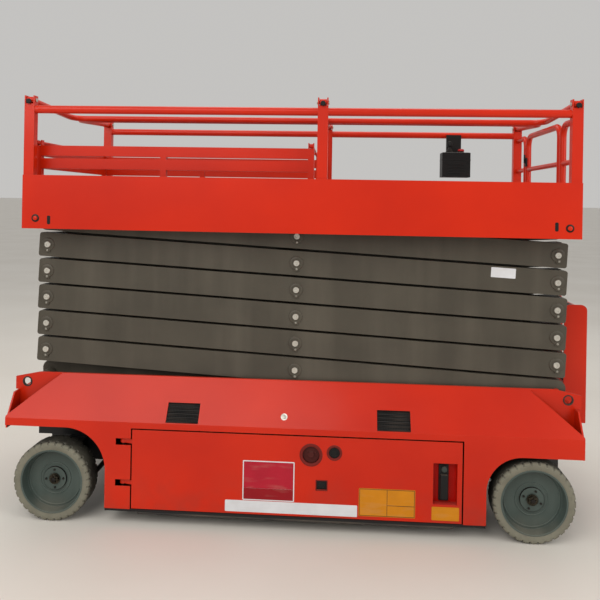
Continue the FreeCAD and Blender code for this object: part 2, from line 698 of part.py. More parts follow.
for end_name, end, top in [("front", -1, front_beam_top), ("back", 1, s.beam_back_low + s.beam)]:
    for side_name, side in SIDES:
        spine.append(side_block("pedestal_%s_%s" % (end_name, side_name), side,
                                (end * s.half_base - s.beam / 2, end * s.half_base + s.beam / 2),
                                (web_in - s.pedestal_out, s.web_half + s.pedestal_out), (top, s.spine_high)))
node(fuse("chassis_spine", spine), "chassis_spine")

# Side walls of the stack's well, with a lug at each end for lifting and tying down
wall_low = s.shelf_low + s.plate
for side_name, side in SIDES:
    wall = side_plate("lug_wall_" + side_name, side, [
        (-end_front, wall_low), (end_back, wall_low), (end_back, s.lug_low), (lug_reach, s.lug_low),
        (lug_reach, s.cover_top - s.lug_drop), (lug_reach - s.lug_slope, s.cover_top),
        (-lug_reach + s.lug_slope, s.cover_top), (-lug_reach, s.cover_top - s.lug_drop),
        (-lug_reach, s.lug_low), (-end_front, s.lug_low),
    ], bed_half, wall_half,
        [(-lug_hole_x, s.lug_hole_z, s.lug_hole), (lug_hole_x, s.lug_hole_z, s.lug_hole)])
    node(wall, "lug_wall_" + side_name)

# Side covers: one bent sheet per side, sloped above the fold, with the wheel arches, the
# door opening, the mitred ends, the hinge slots and two vents cut out of it
beyond = s.cover_drop
for side_name, side in SIDES:
    name = "side_cover_" + side_name
    section = [
        (s.body_half, s.sill_low), (s.body_half, s.fold_height), (wall_half, s.cover_top),
        (wall_half, s.cover_top - s.cover_drop),
        (skin_in, s.fold_height + s.cover_sheet / slope_run - s.cover_drop), (skin_in, s.sill_low),
    ]
    bent = plate(name + "_sheet", "YZ", [(side * y, z) for y, z in section], -s.body_front, s.body_back)
    deep = (wall_half - beyond, s.body_half + beyond)
    floor = s.sill_low - beyond
    openings = []
    openings.append(side_plate(name + "_front_arch", side, [
        (-s.body_front - beyond, floor), (-arch_front, floor),
        (-arch_front, s.arch_front_top, s.arch_front_round), (-s.body_front - beyond, s.arch_front_top),
    ], *deep))
    openings.append(side_plate(name + "_back_arch", side, [
        (arch_back, floor), (s.body_back + beyond, floor),
        (s.body_back + beyond, s.arch_back_top), (arch_back, s.arch_back_top, s.arch_back_round),
    ], *deep))
    doorway = (-s.door_front - s.door_gap, s.door_back + s.door_gap)
    openings.append(side_block(name + "_doorway", side, doorway, deep, (floor, s.door_top + s.door_gap)))
    for end_name, end, reach in [("front", -1, s.body_front), ("back", 1, s.body_back)]:
        openings.append(side_plate("%s_%s_miter" % (name, end_name), side, [
            (end * (reach + beyond), s.miter_low), (end * (reach + beyond), s.cover_top + beyond),
            (end * (reach - s.miter_top_run), s.cover_top + beyond),
            (end * (reach - s.miter_run), s.miter_low + s.miter_rise), (end * reach, s.miter_low),
        ], wall_half, deep[1]))
    for vent_name, x in [("front", s.vent_front_x), ("back", s.vent_back_x)]:
        openings.append(side_block("%s_%s_vent" % (name, vent_name), side, (x, x + s.vent_long), deep,
                                   (s.vent_low, s.vent_low + s.vent_high)))
    for low in (s.hinge_low_z, s.hinge_top_z):
        slot_x = (-hinge_x - s.slot_run, -s.door_front - s.seat_gap)
        openings.append(side_block(name + "_hinge_slot", side, slot_x, (skin_in - beyond, deep[1]),
                                   (low - s.slot_gap, low + s.hinge_high + s.slot_gap)))
    node(cut(name, bent, fuse(name + "_openings", openings)), name)

# Fixed pivots of the stack at the back, and the tracks its front rollers run in
ear_out = outer_in - s.ear_gap
pins = []
for side_name, side in SIDES:
    ear = side_plate("base_ear_" + side_name, side, [
        (base_x - s.ear_foot, s.bed_top), (base_x + s.ear_foot, s.bed_top),
        (base_x + s.ear_head, s.base_z + s.ear_over), (base_x - s.ear_head, s.base_z + s.ear_over),
    ], ear_out - s.ear_thick, ear_out)
    shaft = side_bar("base_pin_" + side_name, side, base_x, (ear_out - s.ear_thick, bed_half),
                     s.base_z, s.pin_radius)
    pins.append(fuse("base_pivot_" + side_name, [ear, shaft]))
node(group("base_pivots", pins), "base_pivots")

roller_y = (outer_in, outer_in + s.arm_wide)
tracks = [side_block("track_" + side_name, side, (-s.track_front, -s.track_back), roller_y,
                     (s.bed_top, s.base_z - s.roller_radius - s.seat_gap)) for side_name, side in SIDES]
node(group("slide_tracks", tracks), "slide_tracks")

# Back axle: a square beam with a stub for each wheel
stub_end = wheel_y + half_tyre - s.rim_dish + s.stub_out
back = [block("back_beam", (s.half_base - s.beam / 2, -king_half, s.beam_back_low),
              (s.beam, 2 * king_half, s.beam))]
back.append(bar("back_shaft", (s.half_base, -stub_end, s.wheel_radius), "y", s.axle_radius, 2 * stub_end))
node(fuse("back_axle", back), "back_axle")

# Front axle: a beam with a kingpin eye at each end
eye_in = king_half - s.king_pin
front = [block("front_beam", (-s.half_base - s.beam / 2, -eye_in, s.beam_front_low),
               (s.beam, 2 * eye_in, s.beam_front_high))]
bores = []
for side_name, side in SIDES:
    front.append(bar("eye_" + side_name, (-s.half_base, side * king_half, s.beam_front_low), "z",
                     s.king_eye, s.beam_front_high))
    bores.append(bar("eye_bore_" + side_name, (-s.half_base, side * king_half, s.king_low), "z",
                     s.king_pin + s.pin_gap, front_beam_top))
node(cut("front_axle", fuse("front_axle_solid", front), fuse("front_axle_bores", bores)), "front_axle")

# Steering knuckles: kingpin, stub axle and steering arm, joined by the tie rod. The arms
# are square to the axle, so the rod stays parallel to it at every angle
knuckle_top = s.beam_front_low - s.king_gap
cap_low = front_beam_top + s.king_gap
tie_x = -s.half_base + s.steer_arm
for side_name, side in SIDES:
    king = bar("king_" + side_name, (-s.half_base, side * king_half, s.king_low), "z", s.king_pin,
               cap_low + s.cap_high - s.king_low)
    collar = bar("collar_" + side_name, (-s.half_base, side * king_half, s.king_low), "z", s.king_eye,
                 knuckle_top - s.king_low)
    cap = bar("king_cap_" + side_name, (-s.half_base, side * king_half, cap_low), "z",
              s.king_pin + s.cap_rim, s.cap_high)
    stub = side_bar("stub_" + side_name, side, -s.half_base, (king_half, stub_end), s.wheel_radius,
                    s.axle_radius)
    arm = plate("steer_arm_" + side_name, "XY", [
        (-s.half_base, side * king_half - s.arm_flare), (tie_x + s.arm_tip, side * king_half - s.arm_tip),
        (tie_x + s.arm_tip, side * king_half + s.arm_tip), (-s.half_base, side * king_half + s.arm_flare),
    ], s.king_low, s.king_low + s.steer_arm_high)
    tie = bar("tie_pin_" + side_name, (tie_x, side * king_half, s.king_low - s.tie_drop), "z",
              s.tie_pin, s.tie_drop)
    node(fuse("knuckle_" + side_name, [king, collar, cap, stub, arm, tie]), "knuckle_" + side_name)
tie_z = s.king_low - s.tie_low
tie_solid = [bar("tie_bar", (tie_x, -king_half, tie_z), "y", s.tie_radius, 2 * king_half)]
tie_bores = []
for side_name, side in SIDES:
    low = tie_z - s.tie_eye_high / 2
    tie_solid.append(bar("tie_eye_" + side_name, (tie_x, side * king_half, low), "z", s.tie_eye, s.tie_eye_high))
    tie_bores.append(bar("tie_bore_" + side_name, (tie_x, side * king_half, s.wheel_radius / 2), "z",
                         s.tie_pin + s.pin_gap, s.king_low))
node(cut("tie_rod", fuse("tie_solid", tie_solid), fuse("tie_bores", tie_bores)), "tie_rod")


# A shallow box behind a window in the door, open towards the outside
def recess(name, side, x, z, door_in):
    shell = side_block(name + "_shell", side, (x[0] - s.cup_wall, x[1] + s.cup_wall),
                       (door_in - s.cup_deep, door_in), (z[0] - s.cup_wall, z[1] + s.cup_wall))
    space = side_block(name + "_space", side, x, (door_in - s.cup_deep + s.cup_wall, s.body_half), z)
    return cut(name, shell, space)


# A round cup behind a port in the door
def cup(name, side, x, z, radius, door_in):
    shell = side_bar(name + "_shell", side, x, (door_in - s.cup_deep, door_in), z, radius + s.cup_wall)
    space = side_bar(name + "_space", side, x, (door_in - s.cup_deep + s.cup_wall, s.body_half), z, radius)
    return cut(name, shell, space)


# Swing-out trays: the door is their outer wall, and goose-neck arms carry them on the posts.
# Both doors have a latch recess, and the near one also has two ports and a socket
door_in = s.body_half - s.door_sheet
latch_window = ((s.latch_x, s.latch_x + s.latch_long), (s.latch_z, s.latch_z + s.latch_high))
socket_window = ((s.socket_x, s.socket_x + s.socket_long), (s.socket_z, s.socket_z + s.socket_high))
through = (door_in - s.cup_wall, s.body_half + s.cup_wall)
for side_name, side in SIDES:
    ports = []
    windows = [side_block("latch_window_" + side_name, side, latch_window[0], through, latch_window[1])]
    tray = [recess("latch_recess_" + side_name, side, *latch_window, door_in)]
    if side_name == "near":
        ports = [(s.port_x, s.port_z, s.port_radius), (s.valve_x, s.valve_z, s.valve_radius)]
        windows.append(side_block("socket_window", side, socket_window[0], through, socket_window[1]))
        tray.append(recess("socket_recess", side, *socket_window, door_in))
        tray.append(cup("port_cup", side, s.port_x, s.port_z, s.port_radius, door_in))
        tray.append(cup("valve_cup", side, s.valve_x, s.valve_z, s.valve_radius, door_in))
    door = side_plate("door_" + side_name, side, [
        (-s.door_front, s.door_low), (s.door_back, s.door_low),
        (s.door_back, s.door_top), (-s.door_front, s.door_top),
    ], door_in, s.body_half, ports)
    window = fuse("door_windows_" + side_name, windows) if len(windows) > 1 else windows[0]
    tray.append(cut("door_cut_" + side_name, door, window))
    tray.append(side_block("tray_floor_" + side_name, side, (-tray_front, tray_back), (tray_in, door_in),
                           (s.tray_floor, s.tray_floor + s.tray_sheet)))
    rim_z = (s.tray_floor, s.tray_floor + s.tray_side)
    tray.append(side_block("tray_inner_" + side_name, side, (-tray_front, tray_back),
                           (tray_in, tray_in + s.tray_sheet), rim_z))
    tray.append(side_block("tray_front_" + side_name, side, (-tray_front, -tray_front + s.tray_sheet),
                           (tray_in, door_in), rim_z))
    tray.append(side_block("tray_back_" + side_name, side, (tray_back - s.tray_sheet, tray_back),
                           (tray_in, door_in), rim_z))
    rings = []
    for low_name, low in [("low", s.hinge_low_z), ("top", s.hinge_top_z)]:
        tray.append(bar("ring_%s_%s" % (low_name, side_name), (-hinge_x, side * hinge_y, low), "z",
                        s.hinge_ring, s.hinge_high))
        tray.append(plate("neck_%s_%s" % (low_name, side_name), "XY", [
            (-hinge_x, side * (hinge_y - s.neck_wide)), (-hinge_x, side * (hinge_y + s.neck_wide)),
            (-s.door_front, side * door_in), (-s.door_front + s.neck_back, side * door_in),
            (-s.door_front + s.neck_back, side * (door_in - s.neck_wide)),
            (-s.door_front, side * (door_in - 2 * s.neck_wide)),
        ], low, low + s.hinge_high))
        rings.append(bar("ring_bore_%s_%s" % (low_name, side_name),
                         (-hinge_x, side * hinge_y, low - s.hinge_high), "z",
                         s.hinge_pin + s.pin_gap, 3 * s.hinge_high))
    node(cut("tray_" + side_name, fuse("tray_solid_" + side_name, tray), fuse("tray_bores_" + side_name, rings)),
         "tray_" + side_name)

# What the trays carry: three battery blocks near, oil tank and pump unit far
load_y = (tray_in + s.cell_gap, door_in - s.cell_out)
load_low = s.tray_floor + s.tray_sheet
cells = []
for k in (-1, 0, 1):
    middle = k * s.battery_pitch
    cells.append(side_block("battery_%d" % (k + 2), -1, (middle - s.battery_long / 2, middle + s.battery_long / 2),
                            load_y, (load_low, load_low + s.battery_high)))
node(group("batteries", cells), "batteries")
pump = [side_block("tank", 1, (-s.tank_front, s.tank_back), load_y, (load_low, load_low + s.battery_high)),
        side_block("pump", 1, (s.pump_front, s.pump_back), load_y, (load_low, load_low + s.pump_high))]
node(group("power_unit", pump), "power_unit")

# Pothole guards, folded up flat under the sills
guard_z = s.sill_floor - s.seat_gap - s.guard_barrel
guard_y = sill_half - s.guard_barrel
for side_name, side in SIDES:
    leaf = side_block("guard_leaf_" + side_name, side, (-s.guard_front, s.guard_back),
                      (guard_y - s.guard_wide, guard_y), (guard_z - s.guard_thick / 2, guard_z + s.guard_thick / 2))
    barrel = bar("guard_barrel_" + side_name, (-s.guard_front, side * guard_y, guard_z), "x", s.guard_barrel,
                 s.guard_front + s.guard_back)
    node(fuse("pothole_guard_" + side_name, [leaf, barrel]), "pothole_guard_" + side_name)

# Ladder on the back end
TREADS = 4
treads = []
for side_name, side in SIDES:
    treads.append(side_plate("ladder_side_" + side_name, side, [
        (s.body_back, s.ladder_low), (ladder_back, s.ladder_low), (ladder_back, s.ladder_top, s.ladder_round),
        (ladder_front, s.ladder_top, s.ladder_round), (ladder_front, s.bed_top),
        (s.body_back, s.bed_top - s.ladder_round),
    ], s.ladder_half - s.ladder_side, s.ladder_half))
for k in range(TREADS):
    treads.append(block("tread_%d" % (k + 1),
                        (ladder_front, -s.ladder_half + s.tread_in, s.ladder_low + s.tread_first + k * s.ladder_pitch),
                        (s.ladder_deep, 2 * (s.ladder_half - s.tread_in), s.tread_thick)))
node(fuse("ladder", treads), "ladder")

# Scissor stack. Folded, each arm lies at this angle to the level
fold_angle = math.degrees(math.asin(s.pitch.value / s.arm_len.value))
half_arm = s.arm_len / 2
fold_text = "asin(Sizes.pitch / Sizes.arm_len)"
middle_x = Length(base_x.value - half_arm.value * math.cos(math.radians(fold_angle)),
                  "(%s - Sizes.arm_len / 2 * cos(%s))" % (base_x.text, fold_text))
inner_in = outer_in - s.layer_gap - s.arm_wide
inner_out = outer_in - s.layer_gap
outer_out = outer_in + s.arm_wide
pin_end = outer_out + s.pin_head
LEVELS = 6


# An arm's side view, with larger corners where it turns close to the bed or the deck
def arm_outline(level, low_end, top_end):
    reach = half_arm + s.arm_over
    deep = s.arm_deep / 2
    wide = {1: low_end, LEVELS: top_end}.get(level)
    front, back = [s.arm_round if end == wide else s.arm_corner for end in ("front", "back")]
    return [(-reach, -deep, front), (reach, -deep, back), (reach, deep, back), (-reach, deep, front)]


# Lays an arm pair at its level: way is 1 for arms that fall to the back, -1 for the others
def tilt(thing, level, way):
    thing.Placement.Rotation = FreeCAD.Rotation(FreeCAD.Vector(0, 1, 0), way * fold_angle)
    thing.setExpression("Placement.Rotation.Angle", fold_text if way > 0 else "-" + fold_text)
    place(thing, (middle_x, length(0), s.base_z + (level - 0.5) * s.pitch))


# Outer arms fall towards the back. They carry the pins that the inner arms turn on
for level in range(1, LEVELS + 1):
    name = "outer_arms_%d" % level
    pieces = []
    for side_name, side in SIDES:
        bores = [(half_arm, length(0), s.pin_radius + s.pin_gap)] if level == 1 else []
        pieces.append(side_plate("%s_%s" % (name, side_name), side, arm_outline(level, "back", "front"),
                                 outer_in, outer_out, bores))
        pieces.append(side_bar("%s_middle_%s" % (name, side_name), side, length(0), (inner_in, pin_end),
                               length(0), s.pin_radius))
    if level < LEVELS:
        pieces.append(bar(name + "_front_pin", (-half_arm, -pin_end, length(0)), "y", s.pin_radius, 2 * pin_end))
    else:
        for side_name, side in SIDES:
            pieces.append(side_bar("%s_roller_pin_%s" % (name, side_name), side, -half_arm,
                                   (outer_in, outer_out + s.ear_gap), length(0), s.pin_radius))
            pieces.append(side_bar("%s_roller_%s" % (name, side_name), side, -half_arm,
                                   (outer_out + s.ear_gap, beam_in - s.rim_lip), length(0), s.roller_radius))
    if level > 1:
        pieces.append(bar(name + "_back_pin", (half_arm, -pin_end, length(0)), "y", s.pin_radius, 2 * pin_end))
    arms = fuse(name, pieces)
    tilt(arms, level, 1)
    node(arms, name)

# Inner arms rise towards the back, in pairs joined by cross tubes and, where a cylinder
# stands, by the shaft of its foot
FOOT_LEVELS = (1, 4)
for level in range(1, LEVELS + 1):
    name = "inner_arms_%d" % level
    pieces = []
    bore = s.pin_radius + s.pin_gap
    for side_name, side in SIDES:
        bores = [(length(0), length(0), bore), (half_arm, length(0), bore)]
        if level > 1:
            bores.append((-half_arm, length(0), bore))
        pieces.append(side_plate("%s_%s" % (name, side_name), side, arm_outline(level, "front", "back"),
                                 inner_in, inner_out, bores))
    for where, at in [("front", -half_arm + s.cross_in), ("back", half_arm - s.cross_in)]:
        pieces.append(bar("%s_%s_tube" % (name, where), (at, -inner_in, length(0)), "y", s.cross_radius, 2 * inner_in))
    if level in FOOT_LEVELS:
        pieces.append(bar(name + "_foot_shaft", (s.foot_at, -inner_in, length(0)), "y", s.anchor_radius, 2 * inner_in))
    if level == 1:
        for side_name, side in SIDES:
            pieces.append(side_bar("%s_roller_pin_%s" % (name, side_name), side, -half_arm,
                                   (inner_in, outer_in), length(0), s.pin_radius))
            pieces.append(side_bar("%s_roller_%s" % (name, side_name), side, -half_arm,
                                   (outer_in, outer_out - s.tread_in), length(0), s.roller_radius))
    arms = fuse(name, pieces)
    tilt(arms, level, -1)
    node(arms, name)

# Lift cylinders: barrel on a shaft of one inner pair, the rod's own shaft between the arms
# of the next. Each is drawn along -X from its foot pin and then turned to its lean
fold = math.radians(fold_angle)
reach = s.foot_at.value + s.eye_at.value
foot_x = Length(middle_x.value + s.foot_at.value * math.cos(fold),
                "(%s + Sizes.foot_at * cos(%s))" % (middle_x.text, fold_text))
rise = Length((s.arm_len.value - reach) * math.sin(fold),
              "((Sizes.arm_len - Sizes.foot_at - Sizes.eye_at) * sin(%s))" % fold_text)
run = Length(reach * math.cos(fold), "((Sizes.foot_at + Sizes.eye_at) * cos(%s))" % fold_text)
span = Length(math.hypot(rise.value, run.value), "sqrt(%s ^ 2 + %s ^ 2)" % (rise.text, run.text))
lean = Length(math.degrees(math.atan2(rise.value, run.value)), "atan(%s / %s)" % (rise.text, run.text))
eye_half = s.eye_wide / 2
shaft_end = inner_in - s.pin_gap
for level, place_name in zip(FOOT_LEVELS, ("lower", "upper")):
    foot_z = s.base_z + (level - 0.5) * s.pitch + Length(s.foot_at.value * math.sin(fold),
                                                        "(Sizes.foot_at * sin(%s))" % fold_text)
    tube = bar("tube_" + place_name, (-s.barrel_len, length(0), length(0)), "x", s.barrel_radius,
               s.barrel_len - s.rod_radius)
    gland = bar("gland_" + place_name, (-s.barrel_len - s.gland_over, length(0), length(0)), "x",
                s.barrel_radius + s.gland_rim, s.gland_long)
    foot = bar("foot_" + place_name, (length(0), -eye_half, length(0)), "y", s.eye_radius, s.eye_wide)
    hollow = bar("hollow_" + place_name, (-s.barrel_len - s.gland_long, length(0), length(0)), "x", s.barrel_bore,
                 s.barrel_len - s.eye_wide)
    foot_bore = bar("foot_bore_" + place_name, (length(0), -s.eye_wide, length(0)), "y",
                    s.anchor_radius + s.pin_gap, 2 * s.eye_wide)
    barrel = cut("lift_barrel_" + place_name, fuse("barrel_solid_" + place_name, [tube, gland, foot]),
                 fuse("barrel_hollow_" + place_name, [hollow, foot_bore]))
    rod = bar("rod_bar_" + place_name, (-span + s.anchor_radius, length(0), length(0)), "x", s.rod_radius, s.rod_in)
    eye = bar("rod_eye_" + place_name, (-span, -eye_half, length(0)), "y", s.eye_radius, s.eye_wide)
    shaft = bar("rod_shaft_" + place_name, (-span, -shaft_end, length(0)), "y", s.anchor_radius, 2 * shaft_end)
    rod_end = fuse("lift_rod_" + place_name, [rod, eye, shaft])
    for piece in (barrel, rod_end):
        piece.Placement.Rotation = FreeCAD.Rotation(FreeCAD.Vector(0, 1, 0), lean.value)
        piece.setExpression("Placement.Rotation.Angle", lean.text)
        place(piece, (foot_x, length(0), foot_z))
    node(barrel, "lift_barrel_" + place_name)
    node(rod_end, "lift_rod_" + place_name)

# Platform deck on two beams, with ribs under the sheet, the ears for the stack's top pivots
# and the rails that its top rollers run under
RIBS = 3
top_z = s.base_z + LEVELS * s.pitch
deck_low = top_z + s.deck_rise
deck_top = deck_low + s.deck_sheet
panel_in = panel_half - s.panel_thick
deck_long = deck_front + deck_back
beam_low = s.panel_low + s.beam_drop
deck = [block("deck_sheet_piece", (-deck_front, -panel_in, deck_low), (deck_long, 2 * panel_in, s.deck_sheet))]
for side_name, side in SIDES:
    deck.append(side_block("deck_beam_" + side_name, side, (-deck_front, deck_back), (beam_in, beam_out),
                           (beam_low, deck_low)))
    deck.append(side_block("roller_rail_" + side_name, side, (-s.track_front + s.beam_drop, -s.track_back),
                           (outer_out + s.rail_gap, beam_in), (top_z + s.roller_radius + s.seat_gap, deck_low)))
    inner_ear = inner_in - s.ear_in
    outer_ear = inner_out + s.deck_ear_gap
    for ear_name, low, thick in [("inner", inner_ear, s.deck_ear_thick), ("outer", outer_ear, s.deck_ear_thin)]:
        deck.append(side_plate("deck_ear_%s_%s" % (ear_name, side_name), side, [
            (base_x - s.ear_foot, deck_low), (base_x - s.ear_head, top_z - s.deck_ear_low),
            (base_x + s.ear_head, top_z - s.deck_ear_low), (base_x + s.ear_foot, deck_low),
        ], low, low + thick))
    deck.append(side_bar("deck_pin_" + side_name, side, base_x, (inner_ear, outer_ear + s.deck_ear_thin),
                         top_z, s.pin_radius))
deck.append(block("deck_lip_front", (-deck_front, -panel_in, deck_low - s.deck_lip),
                  (s.plate, 2 * panel_in, s.deck_lip)))
deck.append(block("deck_lip_back", (deck_back - s.plate, -panel_in, beam_low),
                  (s.plate, 2 * panel_in, deck_low - beam_low)))
for k in range(RIBS):
    deck.append(block("deck_rib_%d" % (k + 1), (-s.rib_first + k * s.rib_pitch, -beam_in, deck_low - s.rib_high),
                      (s.rib_wide, 2 * beam_in, s.rib_high)))
node(fuse("platform_deck", deck), "platform_deck")
for side_name, side in SIDES:
    panel = side_block("platform_panel_" + side_name, side, (-deck_front, deck_back), (panel_in, panel_half),
                       (s.panel_low, s.panel_top))
    node(panel, "platform_panel_" + side_name)

# Side guards: three posts, a fixed rail and the brackets that the folding frames hinge in
post_in = panel_in - s.post_deep
post_y = (post_in + panel_in) / 2
POSTS = [("front", -deck_front + s.post_wide / 2), ("middle", s.post_mid), ("back", deck_back - s.post_wide / 2)]
for side_name, side in SIDES:
    rails = []
    for post_name, x in POSTS:
        low, high = x - s.post_wide / 2, x + s.post_wide / 2
        rails.append(side_block("post_%s_%s" % (post_name, side_name), side, (low, high),
                                (post_in, panel_in), (deck_top, s.post_top)))
        for cheek, face in enumerate((low, high - s.head_thick)):
            rails.append(side_block("head_%s_%s_%d" % (post_name, side_name, cheek), side,
                                    (face, face + s.head_thick), (post_in, panel_in), (s.post_top, s.head_top)))
        rails.append(bar("head_pin_%s_%s" % (post_name, side_name), (low, side * post_y, s.frame_z), "x",
                         s.frame_pin, s.post_wide))
    rails.append(bar("fixed_rail_" + side_name, (POSTS[0][1], side * post_y, s.rail_z), "x", s.rail_radius,
                     POSTS[2][1] - POSTS[0][1]))
    node(fuse("side_guard_" + side_name, rails), "side_guard_" + side_name)


# A folding frame, drawn flat with its hinge line on the X axis: a bent tube with eyes on
# that line and, on the long frames, a strut. It is then turned down by drop and put in place
def folding_frame(name, side, ends, reach, drop, at, tube, eyes, eye, eye_long, pin, rounding, strut=None):
    level = length(0)
    solid = [bent_tube(name + "_hoop", "XY", [
        (ends[0], level), (ends[0], -side * reach, rounding), (ends[1], -side * reach, rounding), (ends[1], level),
    ], level, tube)]
    if strut is not None:
        solid.append(side_bar(name + "_strut", side, strut, (-reach, level), level, tube - s.strut_slim))
    bores = []
    for k, x in enumerate(eyes):
        solid.append(bar("%s_eye_%d" % (name, k), (x - eye_long / 2, level, level), "x", eye, eye_long))
        bores.append(bar("%s_bore_%d" % (name, k), (x - eye_long, level, level), "x",
                         pin + s.pin_gap, 2 * eye_long))
    frame = cut(name, fuse(name + "_solid", solid), fuse(name + "_bores", bores))
    lean = Length(math.degrees(math.asin(drop.value / reach.value)), "asin(%s / %s)" % (drop.text, reach.text))
    frame.Placement.Rotation = FreeCAD.Rotation(FreeCAD.Vector(1, 0, 0), side * lean.value)
    frame.setExpression("Placement.Rotation.Angle", lean.text if side > 0 else "-" + lean.text)
    place(frame, (level, side * at[0], at[1]))
    return frame


# Folding top frames, lying over the platform
for side_name, side in SIDES:
    frame = folding_frame("top_frame_" + side_name, side, (POSTS[0][1], POSTS[2][1]), post_y - s.frame_gap,
                          s.frame_drop, (post_y, s.frame_z), s.frame_radius, [x for post_name, x in POSTS],
                          s.frame_radius + s.eye_rim, s.eye_long, s.frame_pin, s.frame_round, s.post_mid)
    node(frame, "top_frame_" + side_name)

# Back guard: a bent tube each side of the gate, and the gate itself
back_y = s.gate_half + s.frame_radius + s.gate_gap
gate_mid = (s.gate_low + s.gate_top) / 2
back_rails = []
for side_name, side in SIDES:
    hoop = bent_tube("back_hoop_" + side_name, "YZ", [
        (side * post_in, s.rail_z - s.back_rail_drop), (side * back_y, s.rail_z - s.back_rail_drop, s.gate_round),
        (side * back_y, deck_top),
    ], gate_x, s.frame_radius)
    cross = side_bar("back_bar_" + side_name, side, gate_x, (back_y, post_in), gate_mid, s.frame_radius - s.strut_slim)
    back_rails.append(fuse("back_rail_" + side_name, [hoop, cross]))
node(group("back_guard", back_rails), "back_guard")
gate_in = s.gate_half - s.frame_radius - s.gate_side_gap
gate_parts = [bent_tube("gate_hoop", "YZ", [
    (-gate_in, s.gate_low), (-gate_in, s.gate_top, s.gate_round),
    (gate_in, s.gate_top, s.gate_round), (gate_in, s.gate_low),
], gate_x, s.frame_radius)]
for k, z in enumerate((s.gate_low, gate_mid)):
    gate_parts.append(bar("gate_bar_%d" % k, (gate_x, -gate_in, z), "y", s.frame_radius - s.strut_slim, 2 * gate_in))
for k, z in enumerate((s.gate_low + s.gate_hinge_low, s.gate_top - s.gate_hinge_top)):
    gate_parts.append(block("gate_hinge_%d" % k,
                            (gate_x - s.gate_hinge_wide / 2, -s.gate_half - s.gate_gap + s.gate_hinge_gap, z),
                            (s.gate_hinge_wide, s.gate_hinge_long, s.gate_hinge_high)))
node(fuse("gate", gate_parts), "gate")

# Extension deck: slides out of the front end on its runners, with its own guard
ext_low = deck_top + s.seat_gap
ext_top = ext_low + 2 * s.ext_sheet
ext_long = ext_front + s.ext_back
ext_parts = [block("ext_sheet_piece", (-ext_front, -ext_half, ext_low + s.ext_sheet),
                   (ext_long, 2 * ext_half, s.ext_sheet))]
for k, y in enumerate((-ext_half, -s.runner_wide / 2, ext_half - s.runner_wide)):
    ext_parts.append(block("ext_runner_%d" % k, (-ext_front, y, ext_low), (ext_long, s.runner_wide, s.ext_sheet)))
node(fuse("extension_deck", ext_parts), "extension_deck")
ext_bar_two = s.ext_bar_low + s.ext_bar_deep + s.ext_bar_gap
ext_bar_end = ext_bar_two + s.ext_bar_deep
ext_y = ext_half - s.ext_post / 2
ext_frame_z = ext_bar_end + s.ext_frame_rise
EXT_POSTS = [("front", -ext_front + s.ext_post_in), ("middle", -ext_front / 2), ("back", s.ext_back - s.ext_post_in)]
ext_start = EXT_POSTS[0][1] - s.ext_post / 2
ext_stop = EXT_POSTS[2][1] + s.ext_post / 2
guard = []
for side_name, side in SIDES:
    for post_name, x in EXT_POSTS:
        guard.append(side_block("ext_post_%s_%s" % (post_name, side_name), side,
                                (x - s.ext_post / 2, x + s.ext_post / 2),
                                (ext_half - s.ext_post, ext_half), (ext_top, ext_bar_end)))
    for k, low in enumerate((s.ext_bar_low, ext_bar_two)):
        guard.append(side_block("ext_bar_%d_%s" % (k, side_name), side, (ext_start, ext_stop),
                                (ext_half - s.ext_bar_thick, ext_half), (low, low + s.ext_bar_deep)))
    for post_name, x in (EXT_POSTS[0], EXT_POSTS[2]):
        for cheek, face in enumerate((x - s.ext_head_gap - s.ext_head_thick, x + s.ext_head_gap)):
            guard.append(side_block("ext_head_%s_%s_%d" % (post_name, side_name, cheek), side,
                                    (face, face + s.ext_head_thick), (ext_half - s.ext_post, ext_half),
                                    (ext_bar_end, ext_frame_z + s.ext_head_over)))
        pin_half = s.ext_head_gap + s.ext_head_thick
        guard.append(bar("ext_pin_%s_%s" % (post_name, side_name), (x - pin_half, side * ext_y, ext_frame_z),
                         "x", s.ext_pin, 2 * pin_half))
front_half = ext_half - s.ext_front_in
for k, low in enumerate((s.ext_bar_low, ext_bar_two)):
    guard.append(block("ext_front_bar_%d" % k, (ext_start, -front_half, low),
                       (s.ext_front_deep, 2 * front_half, s.ext_bar_deep)))
guard.append(block("ext_toe_board", (ext_start, -front_half, ext_top), (s.toe_thick, 2 * front_half, s.toe_high)))
node(fuse("extension_guard", guard), "extension_guard")
for side_name, side in SIDES:
    first, last = EXT_POSTS[0][1], EXT_POSTS[2][1]
    frame = folding_frame("extension_frame_" + side_name, side, (first, last), ext_y - s.ext_frame_gap,
                          length(0), (ext_y, ext_frame_z), s.ext_frame_radius - s.ext_tube_slim, (first, last),
                          s.ext_frame_radius - s.ext_eye_slim, s.ext_eye_long, s.ext_pin, s.frame_round)
    node(frame, "extension_frame_" + side_name)

# Control box, hung from the far fixed rail
hook_y = post_y - s.rail_radius
control = [block("control_case", (s.box_x, box_y, s.box_z), (s.box_long, s.box_deep, s.box_high)),
           block("control_hanger", (s.box_x + s.hanger_in, box_y + s.box_deep, s.box_z + s.hanger_up),
                 (s.box_long - 2 * s.hanger_in, hook_y - box_y - s.box_deep, s.rail_z - s.box_z - s.hanger_up)),
           bar("joystick", (s.box_x + s.stick_in, box_y + s.stick_in, s.box_z + s.box_high), "z",
               s.stick_radius, s.stick_high),
           bar("stop_button", (s.box_x + s.stop_x, box_y + s.stick_in, s.box_z + s.box_high), "z",
               s.stop_radius, s.stop_high)]
node(fuse("control_box", control), "control_box")

doc.recompute()
for thing in doc.Objects:
    if "Invalid" in thing.State or "Error" in thing.State:
        raise RuntimeError("%s did not build: %s" % (thing.Label, thing.State))
for piece in SUBPARTS:
    if piece.Shape.isNull() or not piece.Shape.isValid():
        raise RuntimeError("%s has no valid shape" % piece.Label)
for piece in SUBPARTS:
    piece.Shape.exportStep("parts/%s.step" % piece.Label)
print("%d sub-parts" % len(SUBPARTS))
